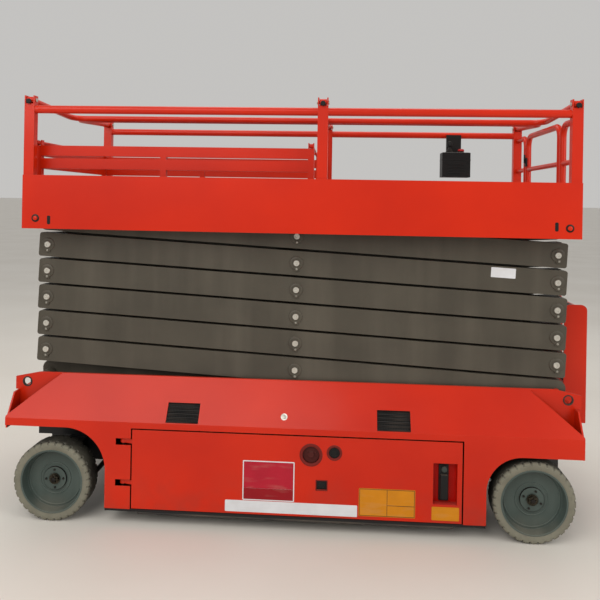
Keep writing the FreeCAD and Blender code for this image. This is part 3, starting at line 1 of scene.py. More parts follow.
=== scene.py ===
from math import asin, cos, pi, radians, sin

import bmesh
import bpy
from mathutils import Matrix, Vector


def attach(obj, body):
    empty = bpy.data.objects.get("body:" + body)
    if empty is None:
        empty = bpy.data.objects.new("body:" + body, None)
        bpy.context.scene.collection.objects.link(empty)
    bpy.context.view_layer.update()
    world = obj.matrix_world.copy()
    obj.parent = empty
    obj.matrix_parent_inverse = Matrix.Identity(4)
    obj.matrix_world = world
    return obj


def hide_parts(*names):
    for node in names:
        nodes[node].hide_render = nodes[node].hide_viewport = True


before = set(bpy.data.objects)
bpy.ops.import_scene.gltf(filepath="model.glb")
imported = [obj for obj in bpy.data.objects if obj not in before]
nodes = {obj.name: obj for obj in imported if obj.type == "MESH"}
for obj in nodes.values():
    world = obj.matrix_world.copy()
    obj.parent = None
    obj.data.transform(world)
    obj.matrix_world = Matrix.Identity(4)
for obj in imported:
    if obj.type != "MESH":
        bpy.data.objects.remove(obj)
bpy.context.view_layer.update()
scene = bpy.context.scene

# Chassis: a welded sheet-steel box with sloped side covers, lifting lugs and the ears that
# carry the arm stack, sprayed in one gloss orange-red lacquer. The lacquer is thinner on edges
# and dusty on top; behind the side sheets and underneath, the box is black, partly as black
# paint and partly as painted shade for the darkness behind the wheels and under the body.
RED = (0.6, 0.02, 0.0015)
RED_DEEP = (0.47, 0.012, 0.001)
RED_WORN = (0.66, 0.1, 0.045)
DUST = (0.46, 0.36, 0.28)
GRIME = (0.1, 0.055, 0.04)
BLACK_PAINT = (0.012, 0.012, 0.013)
END_PLATES = ((-1.4325, -1.4322), (1.3072, 1.3075))
SHEET_BACKS, FOLD_LINE, UNDER_SILLS = (0.5938, 0.5942), (0.4962, 0.4965), (0.079, 0.0795)


class Signal:
    """One socket in a finish, so that shader maths is written as sums."""

    def __init__(self, tree, socket):
        self.tree = tree
        self.socket = socket

    def node(self, kind, settings, sockets, out=0):
        """Adds a node: its settings first, then the values or signals of its sockets."""
        made = self.tree.nodes.new(kind)
        for key, value in settings.items():
            setattr(made, key, value)
        for key, value in sockets.items():
            if isinstance(value, Signal):
                self.tree.links.new(value.socket, made.inputs[key])
            else:
                made.inputs[key].default_value = value
        return Signal(self.tree, made.outputs[out])

    def maths(self, operation, first, second):
        return self.node("ShaderNodeMath", {"operation": operation}, {0: first, 1: second})

    def __add__(self, other):
        return self.maths("ADD", self, other)

    def __sub__(self, other):
        return self.maths("SUBTRACT", self, other)

    def __rsub__(self, other):
        return self.maths("SUBTRACT", other, self)

    def __mul__(self, other):
        return self.maths("MULTIPLY", self, other)

    def __abs__(self):
        return self.maths("ABSOLUTE", self, 0)

    __radd__ = __add__
    __rmul__ = __mul__

    def axis(self, index):
        """One coordinate of a place or a direction."""
        return self.node("ShaderNodeSeparateXYZ", {}, {0: self}, index)

    def rise(self, low, high):
        """0 where the signal is below low, 1 above high, and straight between."""
        return self.node("ShaderNodeMapRange", {"clamp": True}, {0: self, 1: low, 2: high})

    def noise(self, scale, detail=3.0, stretch=(1, 1, 1)):
        """Cloudy noise read at this place, with so many cells in a metre."""
        spot = self.node("ShaderNodeMapping", {}, {"Vector": self, "Scale": stretch})
        return self.node("ShaderNodeTexNoise", {}, {"Vector": spot, "Scale": scale, "Detail": detail})

    def mix(self, first, second):
        """Goes from the first colour to the second as the signal goes from 0 to 1."""
        first = (*first, 1) if isinstance(first, tuple) else first
        second = (*second, 1) if isinstance(second, tuple) else second
        return self.node("ShaderNodeMix", {"data_type": "RGBA"}, {0: self, 6: first, 7: second}, 2)

    def bump(self, strength, distance, rounded=None):
        """Normal of a surface raised by this signal, over rounded edges if it has them."""
        sockets = {"Strength": strength, "Distance": distance, "Height": self}
        if rounded:
            sockets["Normal"] = rounded
        return self.node("ShaderNodeBump", {}, sockets)


def new_finish(name, colour, roughness, **constants):
    """A finish with its plain values set; returns it with its shader and its place signal."""
    paint = bpy.data.materials.new(name)
    paint.use_nodes = True
    tree = paint.node_tree
    shader = tree.nodes["Principled BSDF"]
    shader.inputs["Base Color"].default_value = (*colour, 1)
    shader.inputs["Roughness"].default_value = roughness
    for socket, value in constants.items():
        shader.inputs[socket.replace("_", " ")].default_value = value
    place = Signal(tree, tree.nodes.new("ShaderNodeTexCoord").outputs["Object"])
    return paint, shader, place


def drive(shader, **signals):
    """Feeds signals to the shader's sockets of the same names."""
    for socket, signal in signals.items():
        signal.tree.links.new(signal.socket, shader.inputs[socket.replace("_", " ")])


def tint(colour, share, lift=0.0):
    """A deeper or paler tone of a colour."""
    return tuple(min(1.0, part * share + lift) for part in colour)


def soft_edges(place, radius):
    """Normal of the surface with its edges rounded over, and a mask of those edges."""
    rounded = place.node("ShaderNodeBevel", {"samples": 4}, {"Radius": radius})
    flat = place.node("ShaderNodeNewGeometry", {}, {}, "Normal")
    same = place.node("ShaderNodeVectorMath", {"operation": "DOT_PRODUCT"}, {0: rounded, 1: flat}, "Value")
    return rounded, (1 - same).rise(0.01, 0.12)


def upward(place):
    """1 on faces that look up, where dust settles."""
    return place.node("ShaderNodeTexCoord", {}, {}, "Normal").axis(2).rise(0.55, 0.98)


def inside_chassis(place):
    """1 on what lies behind the side sheets and between the end plates, or under the sills."""
    along, across, height = place.axis(0), abs(place.axis(1)), place.axis(2)
    between = along.rise(*END_PLATES[0]) * (1 - along.rise(*END_PLATES[1]))
    behind = (1 - across.rise(*SHEET_BACKS)) * (1 - height.rise(*FOLD_LINE))
    return place.maths("MAXIMUM", between * behind, 1 - height.rise(*UNDER_SILLS))


def lacquer(name, grime_top, tones=(RED, RED_DEEP, RED_WORN), shine=0.22, black_paint_and_shade_inside=False, bare_top=None):
    """Gloss machine lacquer: orange peel, rubbed edges, dust on top and grime low down."""
    colour, deep, worn = tones
    paint, shader, place = new_finish(name, colour, 0.3, Coat_Weight=shine / 2, Coat_Roughness=0.12,
                                      Specular_IOR_Level=shine)
    rounded, edges = soft_edges(place, 0.0022)
    clouds = place.noise(1.7, 4.0)
    chips = place.noise(90.0, 2.0).rise(0.6, 0.68)
    dust = upward(place) * place.noise(6.0, 5.0).rise(0.35, 0.75)
    low = 1 - place.axis(2).rise(0.05, grime_top)
    grime = low * place.noise(9.0, 6.0).rise(0.42, 0.72)
    tone = clouds.rise(0.3, 0.75).mix(colour, deep)
    tone = (edges * 0.4).mix(tone, worn)
    tone = (edges * chips * 0.8).mix(tone, GRIME)
    tone = (dust * 0.14).mix(tone, DUST)
    tone = (grime * 0.3).mix(tone, GRIME)
    # Painted shade: inside the chassis and under the sills the lacquer turns black, partly black paint and
    # partly shade painted in.
    if black_paint_and_shade_inside:
        tone = inside_chassis(place).mix(tone, BLACK_PAINT)
    if bare_top:
        metal, low, high = bare_top
        bare = place.axis(2).rise(low, high)
        tone = bare.mix(tone, metal)
        drive(shader, Metallic=bare * 0.8)
    peel = place.noise(260.0, 1.0) + place.noise(14.0, 1.0) * 2.0
    gloss = 0.26 + clouds * 0.1 + dust * 0.25 + grime * 0.2
    drive(shader, Base_Color=tone, Roughness=gloss, Normal=peel.bump(0.035, 0.002, rounded))
    return paint


def coat(paint, *names):
    """Gives CAD nodes their finish."""
    for name in names:
        nodes[name].data.materials.clear()
        nodes[name].data.materials.append(paint)


SIDES = (("near", -1), ("far", 1))
red_lacquer = lacquer("red_lacquer", 0.3)
chassis_lacquer = lacquer("chassis_lacquer", 0.3, black_paint_and_shade_inside=True)
coat(chassis_lacquer, "chassis_spine", "side_cover_near", "side_cover_far")
coat(red_lacquer, "base_pivots", "lug_wall_near", "lug_wall_far")

# Vents: each opening in the slope holds tilted black slats with woven mesh behind them, spot
# welded to the inside. Between the vents a screw plug closes a rigging hole, and a black
# bush lines each lug hole, its black standing in as painted shade for the dark inside the hole.
SLOPE_FOOT = Vector((0, -0.6, 0.497))
SLOPE_TOP = Vector((0, -0.467, 0.69))
VENTS = (("front", -0.6485, -0.4915), ("back", 0.3615, 0.5185))
VENT_Z = (0.5, 0.582)
MESH_BEHIND, MESH_THICK, MESH_LAP = 0.0115, 0.0015, (0.008, 0.004)
SLATS, SLAT_DEEP, SLAT_TILT = 6, 0.0045, radians(-38)
SLAT_GAP, SLAT_HALF, SLAT_EASE = 0.0003, (0.0062, 0.0007), 0.0005
PLUG_AT, PLUG_WASHER, PLUG_HEAD = (-0.0805, 0.541), (0.016, 0.0015), (0.0105, 0.005)
LUG_HOLES, LUG_FACE = ((-1.3925, 0.64), (1.2775, 0.64)), -0.462
LUG_SHADE_BUSH = ((-0.0065, 0.0195), (-0.0065, 0.0245), (-0.0055, 0.0255), (0.0055, 0.0255),
            (0.0065, 0.0245), (0.0065, 0.0195), (-0.0065, 0.0195))


def as_object(name, shape, paint):
    """Makes a drawn shape an object of the scene in one finish."""
    mesh = bpy.data.meshes.new(name)
    shape.to_mesh(mesh)
    shape.free()
    mesh.materials.append(paint)
    made = bpy.data.objects.new(name, mesh)
    scene.collection.objects.link(made)
    return made


def finished(name, shape, paint, body, side=-1):
    """Makes a drawn shape a piece that rides on a body; side 1 mirrors it to the far side."""
    if side > 0:
        bmesh.ops.transform(shape, matrix=Matrix.Scale(-1, 4, (0, 1, 0)), verts=shape.verts)
        bmesh.ops.reverse_faces(shape, faces=shape.faces)
    piece = as_object(name, shape, paint)
    piece.data.shade_smooth()
    piece.data.set_sharp_from_angle(angle=radians(32))
    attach(piece, body)
    return piece


def ease(shape, verts, width):
    """Rounds the sharp edges among these corners."""
    inside = set(verts)
    edges = [e for e in shape.edges if set(e.verts) <= inside and e.calc_face_angle(0) > 0.6]
    bmesh.ops.bevel(shape, geom=edges, offset=width, affect="EDGES", segments=2, profile=0.5,
                    material=-1, clamp_overlap=True)


def slab(shape, low, high, ease_width=0.0, place=Matrix()):
    """A box between two corners, with eased edges."""
    low, high = Vector(low), Vector(high)
    at = place @ Matrix.Translation((low + high) / 2) @ Matrix.Diagonal((*(high - low), 1))
    made = bmesh.ops.create_cube(shape, size=1.0, matrix=at)["verts"]
    if ease_width:
        ease(shape, made, ease_width)


AXES = {"x": Matrix.Rotation(pi / 2, 4, "Y"), "y": Matrix.Rotation(-pi / 2, 4, "X"), "z": Matrix()}


def disc(shape, centre, axis, radius, thick, sides=32, ease_width=0.0, top=None, place=Matrix()):
    """A round or many-sided block that starts at a centre and runs along +axis."""
    at = place @ Matrix.Translation(centre) @ AXES[axis] @ Matrix.Translation((0, 0, thick / 2))
    made = bmesh.ops.create_cone(shape, cap_ends=True, segments=sides, radius1=radius,
                                 radius2=radius if top is None else top, depth=thick, matrix=at)["verts"]
    if ease_width:
        ease(shape, made, ease_width)


def turned(shape, profile, centre, steps, axis="y"):
    """A ring or a knob: (along, radius) points turned about an axis through a centre."""
    made = [shape.verts.new((radius, 0, along)) for along, radius in profile]
    edges = [shape.edges.new(pair) for pair in zip(made, made[1:])]
    bmesh.ops.spin(shape, geom=made + edges, cent=(0, 0, 0), axis=(0, 0, 1), dvec=(0, 0, 0),
                   angle=2 * pi, steps=steps, use_merge=True)
    ring = set()
    grow = set(made)
    while grow:
        ring |= grow
        grow = {e.other_vert(v) for v in grow for e in v.link_edges} - ring
    bmesh.ops.transform(shape, matrix=Matrix.Translation(centre) @ AXES[axis], verts=list(ring))
    bmesh.ops.remove_doubles(shape, verts=list(ring), dist=1e-6)
    faces = list({f for v in ring if v.is_valid for f in v.link_faces})
    bmesh.ops.recalc_face_normals(shape, faces=faces)


def wire_mesh(name):
    """Black woven wire on a solid sheet: fine threads, with painted shade in the near-black gaps between
    them.
    """
    paint, shader, place = new_finish(name, (0.02, 0.018, 0.017), 0.6, Metallic=0.3)
    wide, tall = (place.maths("PINGPONG", place.axis(k) * 260.0, 1.0) for k in (0, 2))
    threads = place.maths("MAXIMUM", wide, tall)
    # Painted shade: the gaps between threads are near-black for the dark seen through an open mesh.
    tone = threads.rise(0.6, 0.9).mix((0.004, 0.004, 0.004), (0.05, 0.045, 0.042))
    drive(shader, Base_Color=tone, Normal=threads.bump(0.6, 0.002))
    return paint


def bright_steel(name, colour, roughness, blemish):
    """Zinc-plated or turned steel with a brushed tone and a few dull blemishes."""
    paint, shader, place = new_finish(name, colour, roughness, Metallic=1.0)
    dull = place.noise(45.0, 4.0).rise(0.45, 0.75)
    brushed = place.noise(700.0, 2.0).bump(0.08, 0.0005)
    drive(shader, Base_Color=(dull * 0.6).mix(colour, blemish), Roughness=roughness + dull * 0.25,
          Normal=brushed)
    return paint


slope = (SLOPE_TOP - SLOPE_FOOT).normalized()
slope_out = Vector((1, 0, 0)).cross(slope)
run = (VENT_Z[1] - VENT_Z[0]) / slope.z


def on_slope(x, z):
    """A place on the near cover's slope: local x along the machine, y up the slope, z outwards."""
    spot = SLOPE_FOOT + slope * ((z - SLOPE_FOOT.z) / slope.z) + Vector((x, 0, 0))
    turn = Matrix((Vector((1, 0, 0)), slope, slope_out)).transposed().to_4x4()
    return Matrix.Translation(spot) @ turn


black_mesh = wire_mesh("black_wire_mesh")
black_slat, slat_shader, slat_place = new_finish("black_slat", (0.02, 0.02, 0.02), 0.5,
                                                 Specular_IOR_Level=0.3)
slat_tone = slat_place.noise(14.0, 4.0).rise(0.35, 0.75).mix((0.012, 0.012, 0.012), (0.05, 0.04, 0.034))
drive(slat_shader, Base_Color=slat_tone)
zinc = bright_steel("zinc_plate", (0.62, 0.6, 0.55), 0.34, (0.32, 0.29, 0.24))
for side_name, side in SIDES:
    for end_name, start, stop in VENTS:
        vent, wide = on_slope(start, VENT_Z[0]), stop - start
        screen = bmesh.new()
        slab(screen, (-MESH_LAP[0], -MESH_LAP[1], -MESH_BEHIND - MESH_THICK),
             (wide + MESH_LAP[0], run + MESH_LAP[1], -MESH_BEHIND), place=vent)
        finished(f"vent_mesh_{end_name}_{side_name}", screen, black_mesh, "chassis", side)
        slats = bmesh.new()
        for k in range(SLATS):
            up = Matrix.Translation((0, run * (k + 0.5) / SLATS, -SLAT_DEEP))
            slab(slats, (SLAT_GAP, -SLAT_HALF[0], -SLAT_HALF[1]), (wide - SLAT_GAP, *SLAT_HALF),
                 SLAT_EASE, vent @ up @ Matrix.Rotation(SLAT_TILT, 4, "X"))
        finished(f"vent_slats_{end_name}_{side_name}", slats, black_slat, "chassis", side)
    plug = bmesh.new()
    at = on_slope(*PLUG_AT)
    disc(plug, (0, 0, 0), "z", *PLUG_WASHER, place=at)
    disc(plug, (0, 0, PLUG_WASHER[1]), "z", *PLUG_HEAD, sides=6, ease_width=0.0008, place=at)
    finished("slope_plug_" + side_name, plug, zinc, "chassis", side)
    # Painted shade: the black bushes darken the lug holes as the shade inside them would.
    liners = bmesh.new()
    for x, z in LUG_HOLES:
        turned(liners, LUG_SHADE_BUSH, (x, LUG_FACE, z), steps=40)
    finished("lug_liners_" + side_name, liners, black_slat, "chassis", side)

# Running gear: fabricated axle beams, steering knuckles, tie rod and roller tracks, all in
# black chassis paint that is dusty from the floor, with greased steel at the joints.
FRONT_X, BACK_X = -1.2075, 1.0925
KING_Y, KING_CAP_TOP = 0.425, 0.307
NIPPLE_HEX, NIPPLE_TIP = (0.007, 0.004), (0.0035, 0.009)


def work_paint(name, colour, dusty, dust_top, roughness=0.5, dust_share=0.55):
    """Satin paint on working parts, with floor dust, runs and rubbed edges."""
    paint, shader, place = new_finish(name, colour, roughness, Specular_IOR_Level=0.3)
    rounded, edges = soft_edges(place, 0.002)
    clouds = place.noise(5.0, 5.0)
    streaks = place.noise(7.0, 4.0, stretch=(1.0, 1.0, 0.12)).rise(0.45, 0.8)
    low = 1 - place.axis(2).rise(0.0, dust_top)
    dust = (low + upward(place) * 0.8) * clouds.rise(0.35, 0.7)
    light = tint(colour, 2.4, 0.02)
    tone = clouds.rise(0.3, 0.8).mix(colour, tint(colour, 0.7))
    tone = (streaks * 0.25).mix(tone, light)
    tone = (edges * 0.5).mix(tone, light)
    tone = (dust * dust_share).mix(tone, dusty)
    drive(shader, Base_Color=tone, Roughness=roughness - 0.06 + clouds * 0.14 + dust * 0.2,
          Normal=place.noise(180.0, 2.0).bump(0.08, 0.002, rounded))
    return paint


black_paint = work_paint("black_chassis_paint", BLACK_PAINT, (0.16, 0.13, 0.1), 0.35)
coat(black_paint, "front_axle", "back_axle", "slide_tracks", "knuckle_near", "knuckle_far", "tie_rod",
     "pothole_guard_near", "pothole_guard_far")
for side_name, side in SIDES:
    grease = bmesh.new()
    disc(grease, (FRONT_X, -KING_Y, KING_CAP_TOP), "z", *NIPPLE_HEX, sides=6)
    disc(grease, (FRONT_X, -KING_Y, KING_CAP_TOP + NIPPLE_HEX[1]), "z", *NIPPLE_TIP, sides=16, top=0.0025)
    finished("grease_nipple_" + side_name, grease, zinc, "knuckle_" + side_name, side)

# Under the chassis: black sheet guards that carry the webs down beside the wheels, and a
# bottom plate under each tray, flanged up to the web, to the wheel arches and on the sill.
# These black sheets are partly real plating and partly put in as painted shade, closing off the
# light seen through the wheel arches and under the body.
WEB_Y, WEB_FOOT, PLATE_THICK, PLATE_EASE = 0.2395, 0.302, 0.0035, 0.001
SHADE_GUARDS = (("front", -1.36, -0.9405, 0.172), ("back", 0.8705, 1.305, 0.16))
BOTTOM_X, BOTTOM_Y, BOTTOM_Z = (-0.94, 0.87), (-0.561, -0.243), 0.068
FLANGE_FOOT, WEB_FLANGE, ARCH_FLANGE = 0.07, 0.152, 0.33
for side_name, side in SIDES:
    for end_name, start, stop, foot in SHADE_GUARDS:
        guard = bmesh.new()
        slab(guard, (start, -WEB_Y - PLATE_THICK / 2, foot), (stop, -WEB_Y + PLATE_THICK / 2, WEB_FOOT),
             PLATE_EASE)
        finished(f"splash_shade_guard_{end_name}_{side_name}", guard, black_paint, "chassis", side)
    bottom = bmesh.new()
    slab(bottom, (BOTTOM_X[0], BOTTOM_Y[0], BOTTOM_Z),
         (BOTTOM_X[1], BOTTOM_Y[1], BOTTOM_Z + PLATE_THICK), PLATE_EASE)
    slab(bottom, (BOTTOM_X[0], BOTTOM_Y[1] - PLATE_THICK, FLANGE_FOOT),
         (BOTTOM_X[1], BOTTOM_Y[1], WEB_FLANGE), PLATE_EASE)
    for x in (BOTTOM_X[0], BOTTOM_X[1] - PLATE_THICK):
        slab(bottom, (x, BOTTOM_Y[0], FLANGE_FOOT), (x + PLATE_THICK, BOTTOM_Y[1], ARCH_FLANGE),
             PLATE_EASE)
    finished("bottom_shade_plate_" + side_name, bottom, black_paint, "chassis", side)

# Wheels: a dished pressed-steel disc welded in its barrel, painted slate, with a bolted hub,
# a castle nut and split pin on the stub axle. The tyre is solid non-marking rubber, pressed
# on, with moulded pockets along both shoulders.
WHEEL_Y, WHEEL_Z = 0.5315, 0.1905
HALF_TYRE, TYRE_BORE, TYRE_RADIUS, SHOULDER = 0.0635, 0.154, 0.1905, 0.014
TREAD_ROWS, PITCHES, STEPS_IN_PITCH = (0.0, -0.02, -0.036), 32, 6
POCKET_SPAN, POCKET_IN, POCKET_FOOT = (0.62, 1.4), 0.022, 0.012
POCKET_WALL, POCKET_DEEP = 0.0018, 0.0045
SLATE = (0.062, 0.084, 0.075)
RUBBER = (0.205, 0.197, 0.152)
DISC_FACE, HUB_FACE, RIM_STEPS = 0.54, 0.548, 72
BEAD_RADII = (0.076, 0.131)
BEAD = ((0.0005, -0.0035), (-0.0022, -0.0022), (-0.003, 0.0), (-0.0022, 0.0022), (0.0005, 0.0035),
        (0.0005, -0.0035))
BARREL_LIP = ((0.0, 0.1462), (-0.058, 0.1462), (-0.06, 0.148), (-0.06, 0.1536),
              (-0.0585, 0.1546), (-0.004, 0.15), (0.0, 0.1462))
HUB_PAD = ((0.0002, 0.03), (-0.0014, 0.03), (-0.002, 0.0306), (-0.002, 0.0547),
           (-0.0014, 0.0553), (0.0002, 0.0553), (0.0002, 0.03))
HUB_SHADE_COLLAR = ((0.0, 0.0555), (-0.0085, 0.0555), (-0.009, 0.0562), (-0.0085, 0.057),
              (0.0, 0.0578), (0.0, 0.0555))
BOLT_Y, BOLTS, BOLT_CIRCLE, BOLT_HEAD = 0.5545, 4, 0.043, (0.0056, 0.0047)
WASHER_Y, WASHER, NUT_Y, NUT = 0.5546, (0.0262, 0.0045), 0.562, (0.0218, 0.008)
CASTLE_Y, CASTLE_CIRCLE, CASTLE_LUG = 0.568, 0.0145, (0.0046, 0.0065)
PIN_Y, PIN, PIN_LEG, AXLE_Y, AXLE = 0.5658, (0.0017, 0.042), (0.0016, 0.01), 0.57, (0.01, 0.018)


def rubber_tyre(name):
    """Pale grey rubber, scuffed and worn light on its edges, with painted shade making the tread band
    near-black.
    """
    paint, shader, place = new_finish(name, RUBBER, 0.85, Specular_IOR_Level=0.3)
    rounded, edges = soft_edges(place, 0.003)
    clouds = place.noise(11.0, 6.0)
    scuffs = place.noise(60.0, 3.0).rise(0.55, 0.72)
    # Painted shade: the tread band is mixed almost black for the shadow that falls on it under the body.
    tread = 1 - abs(place.axis(1)).rise(0.575, 0.592)
    tone = clouds.rise(0.3, 0.75).mix(RUBBER, (0.15, 0.142, 0.108))
    tone = (tread * (0.65 + clouds.rise(0.35, 0.65) * 0.3)).mix(tone, (0.022, 0.019, 0.015))
    tone = (scuffs * 0.35).mix(tone, (0.12, 0.11, 0.095))
    tone = (edges * 0.4).mix(tone, (0.42, 0.41, 0.34))
    grain = place.noise(420.0, 3.0) + clouds * 2.0
    drive(shader, Base_Color=tone, Roughness=0.78 + clouds * 0.16, Normal=grain.bump(0.35, 0.001, rounded))
    return paint


def tyre_shape(centre):
    """One tread pitch with its two shoulder pockets, repeated all round the wheel."""
    shape = bmesh.new()
    half = [(along, TYRE_RADIUS) for along in TREAD_ROWS]
    corner = (-HALF_TYRE + SHOULDER, TYRE_RADIUS - SHOULDER)
    for k in range(5):
        angle = radians(90 + 22.5 * k)
        half.append((corner[0] + SHOULDER * cos(angle), corner[1] + SHOULDER * sin(angle)))
    half += [(-HALF_TYRE + 0.0015, TYRE_BORE + 0.008), (-HALF_TYRE + 0.0045, TYRE_BORE)]
    profile = [(-along, radius) for along, radius in reversed(half[1:])] + half
    made = [shape.verts.new((radius, along, 0)) for along, radius in profile]
    edges = [shape.edges.new(pair) for pair in zip(made, made[1:] + made[:1])]
    about_y = {"cent": (0, 0, 0), "axis": (0, 1, 0), "dvec": (0, 0, 0)}
    bmesh.ops.spin(shape, geom=made + edges, angle=2 * pi / PITCHES, steps=STEPS_IN_PITCH,
                   use_merge=False, **about_y)
    bmesh.ops.recalc_face_normals(shape, faces=shape.faces)
    low, high = (pi / PITCHES * share for share in POCKET_SPAN)
    for side in (-1, 1):
        pocket = []
        for face in shape.faces:
            spot = face.calc_center_median()
            outwards = Vector((spot.x, spot.z))
            turn = abs(Vector((1, 0)).angle_signed(outwards))
            beside = side * spot.y > HALF_TYRE - POCKET_IN
            if low < turn < high and beside and outwards.length > TYRE_RADIUS - POCKET_FOOT:
                pocket.append(face)
        bmesh.ops.inset_region(shape, faces=pocket, thickness=POCKET_WALL, depth=-POCKET_DEEP,
                               use_even_offset=True)
    bmesh.ops.spin(shape, geom=shape.verts[:] + shape.edges[:] + shape.faces[:],
                   angle=2 * pi * (PITCHES - 1) / PITCHES, steps=PITCHES - 1, use_duplicate=True, **about_y)
    bmesh.ops.remove_doubles(shape, verts=shape.verts, dist=2e-5)
    bmesh.ops.recalc_face_normals(shape, faces=shape.faces)
    bmesh.ops.translate(shape, verts=shape.verts, vec=centre)
    return shape


def around(count, radius, start=0.0):
    """Places on a circle, as offsets along x and z."""
    turns = [2 * pi * k / count + start for k in range(count)]
    return [(radius * cos(turn), radius * sin(turn)) for turn in turns]


slate_paint = work_paint("slate_wheel_paint", SLATE, (0.3, 0.27, 0.21), 0.12, 0.42, 0.35)
grey_rubber = rubber_tyre("grey_rubber")
dark_nut = bright_steel("passivated_nut", (0.055, 0.048, 0.036), 0.24, (0.01, 0.009, 0.008))
dark_bolt = bright_steel("dark_bolt", (0.035, 0.033, 0.031), 0.45, (0.015, 0.013, 0.012))
for end_name, wheel_x, bolt_turn in (("front", FRONT_X, 0.05), ("back", BACK_X, 1.2)):
    for side_name, side in SIDES:
        tag = f"{end_name}_{side_name}"
        wheel = "wheel_" + tag
        stub = "knuckle_" + side_name if end_name == "front" else "chassis"
        coat(slate_paint, "rim_" + tag)
        tyre = finished("rubber_tyre_" + tag, tyre_shape((wheel_x, -WHEEL_Y, WHEEL_Z)), grey_rubber,
                        wheel, side)
        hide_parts("tyre_" + tag)
        beads = bmesh.new()
        for radius in BEAD_RADII:
            turned(beads, [(along, radius + out) for along, out in BEAD], (wheel_x, -DISC_FACE, WHEEL_Z),
                   RIM_STEPS)
        turned(beads, BARREL_LIP, (wheel_x, -WHEEL_Y, WHEEL_Z), RIM_STEPS)
        turned(beads, HUB_PAD, (wheel_x, -HUB_FACE, WHEEL_Z), RIM_STEPS)
        finished("rim_beads_" + tag, beads, slate_paint, wheel, side)
        bolts = bmesh.new()
        # Painted shade: the dark collar round the hub pad is partly a dark metal ring and partly the shadow
        # line that rings the hub.
        turned(bolts, HUB_SHADE_COLLAR, (wheel_x, -DISC_FACE, WHEEL_Z), RIM_STEPS)
        for x, z in around(BOLTS, BOLT_CIRCLE, bolt_turn):
            disc(bolts, (wheel_x + x, -BOLT_Y, WHEEL_Z + z), "y", *BOLT_HEAD, sides=6, ease_width=0.0006)
        finished("hub_bolts_" + tag, bolts, dark_bolt, wheel, side)
        nut = bmesh.new()
        disc(nut, (wheel_x, -WASHER_Y, WHEEL_Z), "y", *WASHER)
        disc(nut, (wheel_x, -NUT_Y, WHEEL_Z), "y", *NUT, sides=6, ease_width=0.0012)
        for x, z in around(6, CASTLE_CIRCLE):
            disc(nut, (wheel_x + x, -CASTLE_Y, WHEEL_Z + z), "y", *CASTLE_LUG, sides=5, ease_width=0.0005)
        disc(nut, (wheel_x - 0.021, -PIN_Y, WHEEL_Z + 0.001), "x", *PIN, sides=12)
        disc(nut, (wheel_x + 0.0195, -PIN_Y, WHEEL_Z - 0.008), "z", *PIN_LEG, sides=12)
        finished("axle_nut_" + tag, nut, dark_nut, stub, side)
        axle = bmesh.new()
        disc(axle, (wheel_x, -AXLE_Y, WHEEL_Z), "y", *AXLE, sides=24, ease_width=0.0015)
        finished("axle_end_" + tag, axle, dark_bolt, stub, side)

# Swing-out trays: each door is a pressed panel with a latch paddle in a recess. The near one
# also carries a charger inlet and a plug socket behind flaps, a small square power outlet,
# and blank vinyl plates.
DOOR_Y = -0.6
LATCH_X, LATCH_Z = (0.6245, 0.7365), (0.169, 0.362)
LINING_Y, LINING_FLOOR, LINING_THICK = (-0.599, -0.5612), -0.5625, 0.0012
PADDLE_BASE = ((0.653, -0.576, 0.178), (0.7, -0.562, 0.35))
PADDLE_GRIP = ((0.6585, -0.596, 0.19), (0.6945, -0.574, 0.306))
KEY_X, KEY_Z, KEY_BOSS = 0.677, 0.33, (0.0155, 0.01)
KEY_CAP = ((-0.024, 0.0), (-0.024, 0.006), (-0.0225, 0.0115), (-0.0195, 0.0135), (-0.013, 0.0135))
INLET_AT, INLET_RADIUS, INLET_LIP = (0.0525, 0.376), 0.045, 0.009
INLET_FACE = ((0.004, 0.0), (0.002, 0.0125), (0.003, 0.014), (0.01, 0.0155), (0.012, 0.03),
              (0.011, 0.0385), (0.016, 0.0395), (0.026, 0.0395), (0.026, 0.0))
SOCKET_AT, SOCKET_RADIUS, SOCKET_LIP = (0.1625, 0.39), 0.031, 0.0055
SOCKET_FACE = ((0.007, 0.0), (0.007, 0.016), (0.004, 0.018), (0.004, 0.0255), (0.026, 0.0255),
               (0.026, 0.0))
OUTLET_X, OUTLET_Z, OUTLET_KNOB = (0.0805, 0.1285), (0.214, 0.256), (0.0135, 0.004)
OUTLET_RIM, RIM_Y = 0.004, (DOOR_Y - 0.002, DOOR_Y + 0.001)
PLATE_PROUD, FIELD_PROUD, LINE_PROUD = 0.0012, 0.0017, 0.0016
FIELD_X = (-0.2655, -0.0295)
LINES = (((0.4115, 0.4135), (0.104, 0.227)), ((0.4135, 0.5395), (0.153, 0.155)),
         ((0.2835, 0.5405), (0.2265, 0.2285)), ((0.2835, 0.5405), (0.1025, 0.1045)),
         ((0.2835, 0.2855), (0.1045, 0.2265)), ((0.5385, 0.5405), (0.1045, 0.2265)))


def moulded(name, colour, roughness):
    """Black or coloured moulded plastic with a fine spark-eroded grain."""
    paint, shader, place = new_finish(name, colour, roughness, Specular_IOR_Level=0.2)
    rounded, edges = soft_edges(place, 0.0012)
    clouds = place.noise(12.0, 4.0)
    tone = clouds.rise(0.3, 0.8).mix(colour, tint(colour, 0.75))
    tone = (edges * 0.35).mix(tone, tint(colour, 1.6, 0.02))
    tone = (upward(place) * clouds.rise(0.4, 0.8) * 0.25).mix(tone, DUST)
    drive(shader, Base_Color=tone, Roughness=roughness - 0.05 + clouds * 0.12,
          Normal=place.noise(900.0, 2.0).bump(0.15, 0.0005, rounded))
    return paint


def vinyl(name, colour):
    """Blank laminated vinyl: a slightly uneven tone under a clear film."""
    paint, shader, place = new_finish(name, colour, 0.35, Coat_Weight=0.08, Coat_Roughness=0.2,
                                      Specular_IOR_Level=0.2)
    clouds = place.noise(16.0, 4.0)
    smear = place.noise(30.0, 5.0, stretch=(0.25, 1.0, 1.0)).rise(0.55, 0.8)
    tone = clouds.rise(0.3, 0.8).mix(colour, tint(colour, 0.88))
    drive(shader, Base_Color=(smear * 0.18).mix(tone, DUST), Roughness=0.3 + clouds * 0.14)
    return paint


